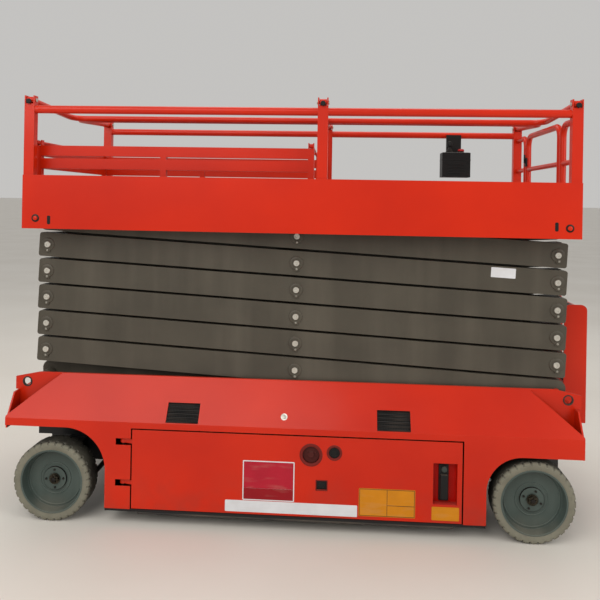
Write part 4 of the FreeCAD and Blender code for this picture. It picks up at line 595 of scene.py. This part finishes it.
def sticker(shape, x, z, y=DOOR_Y, thick=PLATE_PROUD, ease_width=0.004):
    """A thin plate with rounded corners, stuck on a face that looks to -Y."""
    centre = ((x[0] + x[1]) / 2, y - thick / 2 + 0.0002, (z[0] + z[1]) / 2)
    at = Matrix.Translation(centre) @ Matrix.Diagonal((x[1] - x[0], thick, z[1] - z[0], 1))
    inside = set(bmesh.ops.create_cube(shape, size=1.0, matrix=at)["verts"])
    corners = [e for e in shape.edges
               if set(e.verts) <= inside and abs(e.verts[0].co.y - e.verts[1].co.y) > 1e-5]
    bmesh.ops.bevel(shape, geom=corners, offset=ease_width, affect="EDGES", segments=4, profile=0.5,
                    material=-1)


black_plastic = moulded("black_plastic", (0.01, 0.01, 0.01), 0.45)
dark_red_plastic = moulded("dark_red_plastic", (0.17, 0.014, 0.01), 0.5)
grey_plastic = moulded("grey_plastic", (0.2, 0.2, 0.19), 0.45)
lock_plastic = moulded("lock_plastic", (0.045, 0.055, 0.05), 0.4)
recess_paint = lacquer("recess_lacquer", 0.1, ((0.5, 0.006, 0.003), (0.42, 0.005, 0.002), RED), 0.08)
white_vinyl = vinyl("white_vinyl", (0.68, 0.7, 0.73))
yellow_vinyl = vinyl("yellow_vinyl", (0.58, 0.215, 0.006))
red_vinyl = vinyl("red_vinyl", (0.42, 0.01, 0.028))
deep_red_vinyl = vinyl("deep_red_vinyl", (0.27, 0.004, 0.01))
black_line = vinyl("black_line", (0.03, 0.025, 0.018))
PLATES = (
    ("white_strip", white_vinyl, (-0.3535, 0.2735), (0.094, 0.148)),
    ("red_plate_border", white_vinyl, (-0.2705, -0.0245), (0.151, 0.339)),
    ("small_yellow_plate", yellow_vinyl, (0.6195, 0.7465), (0.096, 0.159)),
    ("yellow_plate", yellow_vinyl, (0.2805, 0.5435), (0.1, 0.231)),
)
FIELDS = (("red_plate_field", red_vinyl, (0.209, 0.334)),
          ("red_plate_foot", deep_red_vinyl, (0.156, 0.2085)))
coat(red_lacquer, "tray_near", "tray_far")
for side_name, side in SIDES:
    tray = "tray_" + side_name
    lining = bmesh.new()
    slab(lining, (LATCH_X[0], LINING_FLOOR, LATCH_Z[0]), (LATCH_X[1], LINING_Y[1], LATCH_Z[1]))
    for x in (LATCH_X[0], LATCH_X[1] - LINING_THICK):
        slab(lining, (x, LINING_Y[0], LATCH_Z[0]), (x + LINING_THICK, LINING_Y[1], LATCH_Z[1]))
    for z in (LATCH_Z[1] - LINING_THICK, LATCH_Z[0]):
        slab(lining, (LATCH_X[0], LINING_Y[0], z), (LATCH_X[1], LINING_Y[1], z + LINING_THICK))
    finished("latch_lining_" + side_name, lining, recess_paint, tray, side)
    paddle = bmesh.new()
    slab(paddle, *PADDLE_BASE, 0.004)
    slab(paddle, *PADDLE_GRIP, 0.006)
    disc(paddle, (KEY_X, -0.585, KEY_Z), "y", *KEY_BOSS, ease_width=0.001)
    finished("latch_paddle_" + side_name, paddle, black_plastic, tray, side)
    cap = bmesh.new()
    turned(cap, KEY_CAP, (KEY_X, -0.572, KEY_Z), steps=32)
    finished("latch_key_cap_" + side_name, cap, lock_plastic, tray, side)
rings = bmesh.new()
for (x, z), inner, lip in ((INLET_AT, INLET_RADIUS, INLET_LIP), (SOCKET_AT, SOCKET_RADIUS, SOCKET_LIP)):
    outer = inner + lip
    turned(rings, [(0.0, inner - 0.0045), (-0.0015, inner - 0.005), (-0.003, inner - 0.002),
                   (-0.003, outer - 0.002), (-0.0012, outer), (0.0003, outer), (0.0003, inner - 0.0012),
                   (0.02, inner - 0.0012), (0.02, inner - 0.0045), (0.0, inner - 0.0045)],
           (x, DOOR_Y, z), steps=56)
finished("port_rings", rings, dark_red_plastic, "tray_near")
flaps = bmesh.new()
turned(flaps, INLET_FACE, (INLET_AT[0], DOOR_Y, INLET_AT[1]), steps=56)
for x, z in around(3, 0.023, 0.4):
    disc(flaps, (INLET_AT[0] + x, DOOR_Y + 0.0085, INLET_AT[1] + z), "y", 0.0035, 0.006, sides=16)
finished("charger_inlet", flaps, moulded("inlet_rubber", (0.075, 0.012, 0.01), 0.6), "tray_near")
socket = bmesh.new()
turned(socket, SOCKET_FACE, (SOCKET_AT[0], DOOR_Y, SOCKET_AT[1]), steps=48)
slab(socket, (SOCKET_AT[0] - 0.005, DOOR_Y - 0.002, SOCKET_AT[1] + 0.024),
     (SOCKET_AT[0] + 0.005, DOOR_Y + 0.009, SOCKET_AT[1] + 0.03), 0.001)
finished("plug_socket", socket, black_plastic, "tray_near")
outlet = bmesh.new()
slab(outlet, (OUTLET_X[0] + 0.0005, DOOR_Y + 0.003, OUTLET_Z[0] + 0.0005),
     (OUTLET_X[1] - 0.0005, DOOR_Y + 0.028, OUTLET_Z[1] - 0.0005), 0.001)
disc(outlet, (sum(OUTLET_X) / 2, DOOR_Y - 0.0002, sum(OUTLET_Z) / 2), "y", *OUTLET_KNOB, ease_width=0.001)
finished("power_outlet", outlet, black_plastic, "tray_near")
rim = bmesh.new()
for x in (OUTLET_X[0] - OUTLET_RIM, OUTLET_X[1]):
    slab(rim, (x, RIM_Y[0], OUTLET_Z[0] - OUTLET_RIM), (x + OUTLET_RIM, RIM_Y[1], OUTLET_Z[1] + OUTLET_RIM),
         0.0006)
for z in (OUTLET_Z[0] - OUTLET_RIM, OUTLET_Z[1]):
    slab(rim, (OUTLET_X[0], RIM_Y[0], z), (OUTLET_X[1], RIM_Y[1], z + OUTLET_RIM), 0.0006)
finished("outlet_rim", rim, dark_red_plastic, "tray_near")
for name, paint, x, z in PLATES:
    plate = bmesh.new()
    sticker(plate, x, z)
    finished(name, plate, paint, "tray_near")
for name, paint, z in FIELDS:
    field = bmesh.new()
    sticker(field, FIELD_X, z, thick=FIELD_PROUD, ease_width=0.001)
    finished(name, field, paint, "tray_near")
lines = bmesh.new()
for x, z in LINES:
    sticker(lines, x, z, thick=LINE_PROUD, ease_width=0.0002)
finished("plate_lines", lines, black_line, "tray_near")

# What the trays carry: traction batteries in black tubs on the near side, with lids, caps
# and posts, and on the far side the oil tank with its filler and the pump with its motor.
BATTERY_TOP, BATTERY_Y, BATTERIES_X = 0.367, (-0.524, -0.274), (-0.3875, -0.0575, 0.2725)
LID_HALF, LID_Z = 0.151, (BATTERY_TOP - 0.03, BATTERY_TOP + 0.002)
RIDGE_HALF, RIDGE_Y, RIDGE_HIGH = 0.12, (-0.44, -0.358), 0.01
CAP_Y, CAP_GAP = -0.399, 0.08
CAP = ((0.0, 0.0), (0.0, 0.0), (0.01, 0.016), (0.018, 0.0175), (0.021, 0.014), (0.021, 0.0))
POST_OUT, POST_Y, POST, CLAMP = 0.115, -0.48, (0.0125, 0.02), (0.0165, 0.006)
FILLER_AT, MOTOR_AT = (-0.46, -0.4, 0.365), (0.12, -0.395, 0.345)
FILLER = ((0.0, 0.0), (0.0, 0.034), (0.006, 0.036), (0.026, 0.036), (0.031, 0.03), (0.031, 0.0))
MOTOR = ((0.0, 0.0), (0.0, 0.045), (0.004, 0.056), (0.012, 0.06), (0.17, 0.06), (0.178, 0.056),
         (0.184, 0.04), (0.184, 0.0))
FINS, FIN_GAP, FIRST_FIN = 9, 0.014, 0.03
FIN = ((0.0, 0.0605), (0.0, 0.064), (0.004, 0.064), (0.004, 0.0605), (0.0, 0.0605))
battery_case = moulded("battery_case", (0.02, 0.019, 0.019), 0.5)
cap_plastic = moulded("battery_cap_plastic", (0.6, 0.42, 0.03), 0.5)
lead = bright_steel("cast_lead", (0.34, 0.34, 0.35), 0.5, (0.18, 0.18, 0.18))
coat(battery_case, "batteries")
coat(black_paint, "power_unit")
lids, caps, posts = bmesh.new(), bmesh.new(), bmesh.new()
for x in BATTERIES_X:
    slab(lids, (x - LID_HALF, BATTERY_Y[0] - 0.001, LID_Z[0]), (x + LID_HALF, BATTERY_Y[1] + 0.001, LID_Z[1]),
         0.003)
    slab(lids, (x - RIDGE_HALF, RIDGE_Y[0], BATTERY_TOP),
         (x + RIDGE_HALF, RIDGE_Y[1], BATTERY_TOP + RIDGE_HIGH), 0.003)
    for out in (-CAP_GAP, 0, CAP_GAP):
        turned(caps, CAP, (x + out, CAP_Y, BATTERY_TOP + 0.004), axis="z", steps=24)
    for out in (-POST_OUT, POST_OUT):
        disc(posts, (x + out, POST_Y, BATTERY_TOP), "z", *POST, sides=24, top=0.011)
        disc(posts, (x + out, POST_Y, BATTERY_TOP + 0.008), "z", *CLAMP, sides=6)
finished("battery_lids", lids, battery_case, "tray_near")
finished("battery_caps", caps, cap_plastic, "tray_near")
finished("battery_posts", posts, lead, "tray_near")
filler = bmesh.new()
turned(filler, FILLER, FILLER_AT, axis="z", steps=40)
finished("tank_filler", filler, black_plastic, "tray_far", 1)
motor = bmesh.new()
turned(motor, MOTOR, MOTOR_AT, axis="x", steps=48)
for k in range(FINS):
    turned(motor, FIN, (MOTOR_AT[0] + FIRST_FIN + FIN_GAP * k, *MOTOR_AT[1:]), axis="x", steps=48)
finished("pump_motor", motor, black_paint, "tray_far", 1)

# Ladder on the back end: two bent side plates with pressed treads between them, sprayed with
# the chassis. Each tread has two gritted strips, and its ends show the weld beads.
LADDER_X, TREAD_TOPS = (1.3375, 1.4525), (0.464, 0.654, 0.844, 1.034)
GRIPS_IN, GRIP_WIDE, GRIP_HALF, GRIP_PROUD = (0.014, 0.064), 0.036, 0.165, 0.0012
WELD_IN, WELD_Y, WELD_RADIUS = 0.006, 0.1895, 0.003
coat(red_lacquer, "ladder")
grit_paint, grit_shader, grit_place = new_finish("black_grit", (0.018, 0.018, 0.018), 0.9)
grit_tone = grit_place.noise(300.0, 3.0).rise(0.4, 0.7).mix((0.01, 0.01, 0.01), (0.055, 0.05, 0.045))
drive(grit_shader, Base_Color=grit_tone, Normal=grit_place.noise(700.0, 2.0).bump(0.9, 0.001))
grips, beads = bmesh.new(), bmesh.new()
for top in TREAD_TOPS:
    for inset in GRIPS_IN:
        start = LADDER_X[0] + inset
        slab(grips, (start, -GRIP_HALF, top - 0.0002), (start + GRIP_WIDE, GRIP_HALF, top + GRIP_PROUD),
             0.0004)
    for y in (-WELD_Y, WELD_Y):
        disc(beads, (LADDER_X[0] + WELD_IN, y, top), "x", WELD_RADIUS,
             LADDER_X[1] - LADDER_X[0] - 2 * WELD_IN, sides=10)
finished("tread_grips", grips, grit_paint, "chassis")
finished("tread_welds", beads, red_lacquer, "chassis")

# Arm stack: welded rectangular tubes in dark warm-grey paint. Every pin has a round boss,
# a zinc-plated end and a lock bolt under it that keeps the pin from turning.
ARM_GREY = (0.07, 0.061, 0.046)
ARM_LENGTH, PITCH, STACK_FOOT, PIVOT_X = 2.537, 0.1326, 0.669, 1.2245
ARM_FACE, PIN_END, LEVELS = 0.445, 0.452, 6
BOSS = ((0.0005, 0.0202), (-0.005, 0.0202), (-0.005, 0.03), (-0.0035, 0.0325), (0.0005, 0.0345),
        (0.0005, 0.0202))
PIN_FACE = ((0.0004, 0.0152), (-0.0012, 0.0152), (-0.0026, 0.014), (-0.0026, 0.006),
            (-0.001, 0.0048), (-0.001, 0.0))
LOCK_BOLT, LOCK_AT = (0.0062, 0.0055), Vector((0.002, -0.0125, -0.029))
LOCK_TAB = Vector((-0.0085, -0.0072, -0.0395)), Vector((0.0125, 0.0003, -0.0212))
LABEL_X, LABEL_Z, LABEL_MIDDLE = (0.907, 1.025), (1.2175, 1.266), (0.966, -ARM_FACE, 1.2418)
arm_paint = work_paint("grey_arm_paint", ARM_GREY, (0.26, 0.22, 0.18), 0.01, 0.42, 0.45)
coat(arm_paint, *[f"{kind}_arms_{level + 1}" for kind in ("outer", "inner") for level in range(LEVELS)])
dull_zinc = bright_steel("dull_zinc", (0.3, 0.285, 0.25), 0.5, (0.14, 0.12, 0.1))
arm_lean = asin(PITCH / ARM_LENGTH)
arm_run = ARM_LENGTH * cos(arm_lean)
for level in range(LEVELS):
    low, high = STACK_FOOT + level * PITCH, STACK_FOOT + (level + 1) * PITCH
    pins = [(PIVOT_X - arm_run / 2, (low + high) / 2)]
    if level < LEVELS - 1:
        pins.append((PIVOT_X - arm_run, high))
    if level > 0:
        pins.append((PIVOT_X, low))
    outer = f"outer_{level + 1}"
    for side_name, side in SIDES:
        tag = f"{level + 1}_{side_name}"
        bosses, ends, locks = bmesh.new(), bmesh.new(), bmesh.new()
        for x, z in pins:
            face = Vector((x, -ARM_FACE, z))
            turned(bosses, BOSS, face, steps=40)
            turned(ends, PIN_FACE, (x, -PIN_END, z), steps=40)
            disc(locks, face + LOCK_AT, "y", *LOCK_BOLT, sides=6, ease_width=0.0008)
            slab(bosses, face + LOCK_TAB[0], face + LOCK_TAB[1], 0.0012)
        finished("pin_bosses_" + tag, bosses, arm_paint, outer, side)
        finished("pin_ends_" + tag, ends, zinc, outer, side)
        finished("lock_bolts_" + tag, locks, dull_zinc, outer, side)
label = bmesh.new()
sticker(label, LABEL_X, LABEL_Z, y=-ARM_FACE, ease_width=0.003)
bmesh.ops.rotate(label, verts=label.verts, cent=LABEL_MIDDLE, matrix=Matrix.Rotation(arm_lean, 3, "Y"))
finished("blank_arm_label", label, white_vinyl, "outer_5")

# Lift cylinders: drawn-steel barrels in black paint with a bolted gland and two port bosses
# with steel unions, and hard-chromed rods.
CYLINDERS, CYLINDER_LEAN = (("lower", 0.764047), ("upper", 1.161847)), Vector((-0.99678, 0, 0.080184))
FOOT_X, GLAND_BOLTS, GLAND_AT, GLAND_BOLT = 0.506982, 8, (0.0415, 0, 0.7755), (0.0048, 0.005)
PORTS_AT, PORT_X, PORT_Y, PORT_HALF = (0.07, 0.7), 0.015, (-0.06, -0.04), 0.016
UNION = ((-0.069, 0.0115, 0.01, 6, 0.001), (-0.082, 0.0085, 0.014, 24, 0.0),
         (-0.0895, 0.011, 0.008, 24, 0.001))
coat(black_paint, "lift_barrel_lower", "lift_barrel_upper")
chrome = bright_steel("hard_chrome", (0.66, 0.67, 0.69), 0.12, (0.5, 0.5, 0.5))
coat(chrome, "lift_rod_lower", "lift_rod_upper")
for level_name, foot_z in CYLINDERS:
    cylinder = "cylinder_" + level_name
    along = CYLINDER_LEAN.to_track_quat("Z", "Y").to_matrix().to_4x4()
    along = Matrix.Translation((FOOT_X, 0, foot_z)) @ along
    fittings, hose_ends = bmesh.new(), bmesh.new()
    for k in range(GLAND_BOLTS):
        turn = along @ Matrix.Rotation(2 * pi * k / GLAND_BOLTS, 4, "Z")
        disc(fittings, GLAND_AT, "z", *GLAND_BOLT, sides=6, ease_width=0.0005, place=turn)
    for at in PORTS_AT:
        slab(fittings, (-PORT_X, PORT_Y[0], at - PORT_HALF), (PORT_X, PORT_Y[1], at + PORT_HALF),
             0.002, along)
        for y, radius, thick, sides, eased in UNION:
            disc(hose_ends, (0, y, at), "y", radius, thick, sides, eased, place=along)
    finished("cylinder_fittings_" + level_name, fittings, black_paint, cylinder)
    finished("cylinder_unions_" + level_name, hose_ends, zinc, cylinder)

# Platform: a folded steel deck on two side beams, skinned by tall red panels that are bolted
# at each end. Its top sheet is bare tread plate, with raised lozenges in alternate directions
# where the extension doesn't slide over it.
DECK_TOP, TREAD_X, TREAD_Y = 1.538, (0.06, 1.236), (-0.525, 0.525)
BARE_METAL, BARE_FROM = (0.4, 0.41, 0.42), (DECK_TOP - 0.003, DECK_TOP - 0.002)
LOZENGE_PITCH, LOZENGE_RISE, LOZENGE_SQUASH = 0.034, 0.0013, 0.32
PANEL_Y, PANEL_BOLTS = -0.58, ((-1.3145, 1.469), (1.2355, 1.468))
PANEL_SHADE_WASHER = (0.019, 0.002)
PANEL_HEAD = ((0.0002, 0.0112), (-0.0035, 0.011), (-0.006, 0.009), (-0.007, 0.005), (-0.0072, 0.0))
PANEL_SLOTS, SLOT_HALF = ((-1.248, 1.461), (1.1755, 1.474)), (0.008, 0.021)


def tread_metal(name, colour):
    """Rolled aluminium plate: clouded dull and dirty in patches, with bright scuffs spread over it."""
    paint, shader, place = new_finish(name, colour, 0.42, Metallic=0.85)
    clouds = place.noise(4.0, 6.0)
    scratches = place.noise(40.0, 4.0, stretch=(0.2, 3.0, 1.0)).rise(0.5, 0.7)
    tone = clouds.rise(0.3, 0.75).mix(colour, tint(colour, 0.55))
    tone = (scratches * 0.3).mix(tone, (0.78, 0.78, 0.77))
    drive(shader, Base_Color=tone, Roughness=0.34 + clouds * 0.22,
          Normal=place.noise(240.0, 3.0).bump(0.1, 0.001))
    return paint


def lozenges(x_range, y_range, top):
    """Rows of raised lozenges over a sheet, turned one way and the other by turns."""
    shape = bmesh.new()
    made = bmesh.ops.create_cone(shape, cap_ends=True, segments=4, radius1=0.012, radius2=0.0075,
                                 depth=LOZENGE_RISE, matrix=Matrix.Translation((0, 0, LOZENGE_RISE / 2)))
    bmesh.ops.scale(shape, vec=(1.0, LOZENGE_SQUASH, 1.0), verts=made["verts"])
    bottom = [f for f in shape.faces if f.normal.z < -0.9]
    bmesh.ops.delete(shape, geom=bottom, context="FACES")
    seed = shape.verts[:] + shape.edges[:] + shape.faces[:]
    columns, rows = (int((reach[1] - reach[0]) / LOZENGE_PITCH) for reach in (x_range, y_range))
    for column in range(columns):
        for row in range(rows):
            copy = bmesh.ops.duplicate(shape, geom=seed)["geom"]
            verts = [v for v in copy if isinstance(v, bmesh.types.BMVert)]
            spot = (x_range[0] + (column + 0.5) * LOZENGE_PITCH,
                    y_range[0] + (row + 0.5) * LOZENGE_PITCH, top)
            turn = Matrix.Rotation(radians(45 if (column + row) % 2 else -45), 4, "Z")
            bmesh.ops.transform(shape, matrix=Matrix.Translation(spot) @ turn, verts=verts)
    bmesh.ops.delete(shape, geom=[v for v in seed if isinstance(v, bmesh.types.BMVert)], context="VERTS")
    return shape


tread_plate = tread_metal("tread_plate", (0.52, 0.53, 0.54))
platform_red = lacquer("platform_lacquer", 0.06)
coat(lacquer("deck_lacquer", 0.06, bare_top=(BARE_METAL, *BARE_FROM)), "platform_deck")
coat(platform_red, "platform_panel_near", "platform_panel_far")
finished("deck_tread", lozenges(TREAD_X, TREAD_Y, DECK_TOP), tread_plate, "platform")
for side_name, side in SIDES:
    shade_washers, heads, slot_shades = bmesh.new(), bmesh.new(), bmesh.new()
    for x, z in PANEL_BOLTS:
        # Painted shade: the dark washers are partly real washers and partly the dark ring of shade round each
        # red bolt head.
        disc(shade_washers, (x, PANEL_Y - 0.0018, z), "y", *PANEL_SHADE_WASHER, ease_width=0.0005)
        turned(heads, PANEL_HEAD, (x, PANEL_Y - 0.0017, z), steps=32)
    # Painted shade: each slot is a thin black plate standing in for the dark inside the slot.
    for x, z in PANEL_SLOTS:
        sticker(slot_shades, (x - SLOT_HALF[0], x + SLOT_HALF[0]), (z - SLOT_HALF[1], z + SLOT_HALF[1]),
                y=PANEL_Y, thick=0.001, ease_width=0.006)
    finished("panel_shade_washers_" + side_name, shade_washers, dark_bolt, "platform", side)
    finished("panel_bolts_" + side_name, heads, platform_red, "platform", side)
    finished("panel_slots_" + side_name, slot_shades, black_plastic, "platform", side)

# Guard rails: square posts with a fixed tube, hinge brackets on top and two bent frames that
# lie folded over the platform. The brackets' lock pins have black knobs.
POSTS_X, HINGE_Y, HINGE_Z = (-1.3575, 0.0805, 1.2665), -0.552, 2.048
HINGE_HEADS, HINGE_HEAD = (-0.0305, 0.025), (0.0105, 0.0055)
KNOB_Y, KNOB_Z = -0.572, 2.04
KNOB = ((0.0005, 0.0), (0.0005, 0.008), (-0.004, 0.008), (-0.0055, 0.0125), (-0.012, 0.0125),
        (-0.014, 0.01), (-0.014, 0.0))
coat(platform_red, "side_guard_near", "side_guard_far", "back_guard", "top_frame_near", "top_frame_far")
for side_name, side in SIDES:
    knobs, pin_heads = bmesh.new(), bmesh.new()
    for x in POSTS_X:
        turned(knobs, KNOB, (x, KNOB_Y, KNOB_Z), steps=28)
        for out in HINGE_HEADS:
            disc(pin_heads, (x + out, HINGE_Y, HINGE_Z), "x", *HINGE_HEAD, sides=6, ease_width=0.001)
    finished("lock_pin_knobs_" + side_name, knobs, black_plastic, "platform", side)
    finished("hinge_bolts_" + side_name, pin_heads, zinc, "platform", side)

# Gate at the ladder end: a bent tube with two cross bars on block hinges, held by a spring
# latch that drops behind the guard's tube.
CATCH_PLATE = ((1.253, 0.275, 1.8), (1.26, 0.318, 1.85))
CATCH_BOLT_AT, CATCH_BOLT = (1.25, 0.296, 1.825), (0.01, 0.026)
CATCH_LEVER = ((1.244, 0.29, 1.82), (1.252, 0.302, 1.87))
coat(platform_red, "gate")
latch = bmesh.new()
slab(latch, *CATCH_PLATE, 0.001)
disc(latch, CATCH_BOLT_AT, "x", *CATCH_BOLT, sides=24, ease_width=0.002)
slab(latch, *CATCH_LEVER, 0.002)
finished("gate_latch", latch, black_plastic, "gate")

# Extension deck: aluminium tread plate on three runners, with a low guard of pressed rails
# and a toe board round it and its own folding frames.
SLIDE_X, SLIDE_Y, SLIDE_TOP = (-1.348, 0.036), (-0.445, 0.445), 1.55
coat(tread_plate, "extension_deck")
coat(platform_red, "extension_guard", "extension_frame_near", "extension_frame_far")
finished("extension_tread", lozenges(SLIDE_X, SLIDE_Y, SLIDE_TOP), tread_plate, "extension")

# Control box: a moulded case on a hook over the rail, with a joystick in a rubber boot, a
# mushroom stop button on a yellow ring, rocker switches and a blank display.
BOX_X, BOX_Y, BOX_TOP, FACE_IN = (0.7825, 0.9525), (0.4, 0.51), 1.885, 0.006
STICK_X, STOP_X, CONTROLS_Y = 0.8325, 0.9025, 0.45
BOOT = ((0.0, 0.0), (0.0, 0.024), (0.006, 0.025), (0.009, 0.019), (0.013, 0.021), (0.017, 0.015),
        (0.021, 0.0165), (0.026, 0.011), (0.03, 0.0095))
STICK_KNOB = ((0.038, 0.0095), (0.044, 0.015), (0.06, 0.0165), (0.07, 0.012), (0.073, 0.0))
STOP_RING = (0.026, 0.002)
MUSHROOM = ((0.003, 0.012), (0.01, 0.012), (0.012, 0.0185), (0.019, 0.0195), (0.0245, 0.015), (0.0265, 0.0))
BAND_Z, BAND_OUT, SCREWS_IN, SCREWS_Z = (1.838, 1.843), 0.0015, 0.014, (1.75, 1.825)
RIBS, RIB_GAP, RIB_IN, RIB_Z = 4, 0.018, 0.034, (1.756, 1.762)
ROCKERS, ROCKER_GAP, ROCKER_X, ROCKER_Y = 3, 0.024, (0.8, 0.814), (0.487, 0.501)
DISPLAY_X, DISPLAY_Y = (0.882, 0.934), (0.484, 0.502)
coat(black_plastic, "control_box")
face = bmesh.new()
slab(face, (BOX_X[0] + FACE_IN, BOX_Y[0] + FACE_IN, BOX_TOP - 0.0005),
     (BOX_X[1] - FACE_IN, BOX_Y[1] - FACE_IN, BOX_TOP + 0.002), 0.0008)
finished("control_face", face, grey_plastic, "platform")
boot = bmesh.new()
turned(boot, BOOT, (STICK_X, CONTROLS_Y, BOX_TOP + 0.0015), axis="z", steps=40)
turned(boot, STICK_KNOB, (STICK_X, CONTROLS_Y, BOX_TOP), axis="z", steps=40)
finished("joystick_boot", boot, black_plastic, "platform")
ring = bmesh.new()
disc(ring, (STOP_X, CONTROLS_Y, BOX_TOP + 0.001), "z", *STOP_RING, sides=40)
finished("stop_ring", ring, yellow_vinyl, "platform")
button = bmesh.new()
turned(button, MUSHROOM, (STOP_X, CONTROLS_Y, BOX_TOP), axis="z", steps=40)
finished("stop_mushroom", button, moulded("stop_red", (0.55, 0.015, 0.012), 0.35), "platform")
case = bmesh.new()
slab(case, (BOX_X[0] - BAND_OUT, BOX_Y[0] - BAND_OUT, BAND_Z[0]),
     (BOX_X[1] + BAND_OUT, BOX_Y[1] + BAND_OUT, BAND_Z[1]), 0.001)
for x in (BOX_X[0] + SCREWS_IN, BOX_X[1] - SCREWS_IN):
    for z in SCREWS_Z:
        disc(case, (x, BOX_Y[0] - 0.0025, z), "y", 0.0055, 0.003, sides=6, ease_width=0.0008)
for k in range(RIBS):
    slab(case, (BOX_X[0] + RIB_IN, BOX_Y[0] - 0.003, RIB_Z[0] + RIB_GAP * k),
         (BOX_X[1] - RIB_IN, BOX_Y[0] + 0.0005, RIB_Z[1] + RIB_GAP * k), 0.001)
finished("control_case", case, black_plastic, "platform")
switches = bmesh.new()
for k in range(ROCKERS):
    slab(switches, (ROCKER_X[0] + ROCKER_GAP * k, ROCKER_Y[0], BOX_TOP + 0.001),
         (ROCKER_X[1] + ROCKER_GAP * k, ROCKER_Y[1], BOX_TOP + 0.006), 0.0015)
slab(switches, (DISPLAY_X[0], DISPLAY_Y[0], BOX_TOP + 0.001),
     (DISPLAY_X[1], DISPLAY_Y[1], BOX_TOP + 0.003), 0.001)
finished("control_switches", switches, black_plastic, "platform")

# The stand: a wide, plain, round floor in a pale, faintly clouded finish. It reaches far past
# every view and isn't part of the machine.
floor_finish, floor_shader, floor_place = new_finish("pale_floor", (0.74, 0.71, 0.66), 0.6,
                                                     Specular_IOR_Level=0.3)
floor_tone = floor_place.noise(0.8, 5.0).rise(0.3, 0.75).mix((0.76, 0.73, 0.68), (0.7, 0.665, 0.61))
drive(floor_shader, Base_Color=floor_tone)
ground = bmesh.new()
bmesh.ops.create_circle(ground, cap_ends=True, segments=96, radius=400.0)
plain_floor = as_object("plain_floor", ground, floor_finish)

# Soft studio light: one large key box in front, a weaker fill from the other side and a box
# above, in an even pale room.
world = bpy.data.worlds.new("studio")
scene.world = world
world.use_nodes = True
room = world.node_tree.nodes["Background"]
room.inputs["Color"].default_value = (1.0, 0.985, 0.96, 1)
room.inputs["Strength"].default_value = 0.55
for name, spot, size, power in (
    ("key_box", (-2.6, -5.2, 4.6), 5.0, 225),
    ("fill_box", (4.6, -3.6, 3.0), 3.0, 95),
    ("top_box", (0.0, 1.5, 6.0), 4.0, 120),
):
    lamp = bpy.data.lights.new(name, "AREA")
    lamp.size = size
    lamp.energy = power
    lamp.color = (1.0, 0.97, 0.92)
    box = bpy.data.objects.new(name, lamp)
    box.location = spot
    box.rotation_euler = (Vector((0, 0, 0.9)) - Vector(spot)).to_track_quat("-Z", "Y").to_euler()
    scene.collection.objects.link(box)

# The camera stands where the photograph was taken from: level, low on the near side, with a
# small downward shift of the frame, and turned a little about its own axis.
camera_data = bpy.data.cameras.new("camera")
camera_data.lens = 40.8
camera_data.shift_y = -1 / 6
camera = bpy.data.objects.new("camera", camera_data)
camera.location = (0.19, -3.808, 1.579)
camera.rotation_euler = (radians(90), radians(-0.98), radians(3.75))
scene.collection.objects.link(camera)
scene.camera = camera
scene.view_settings.view_transform = "Standard"
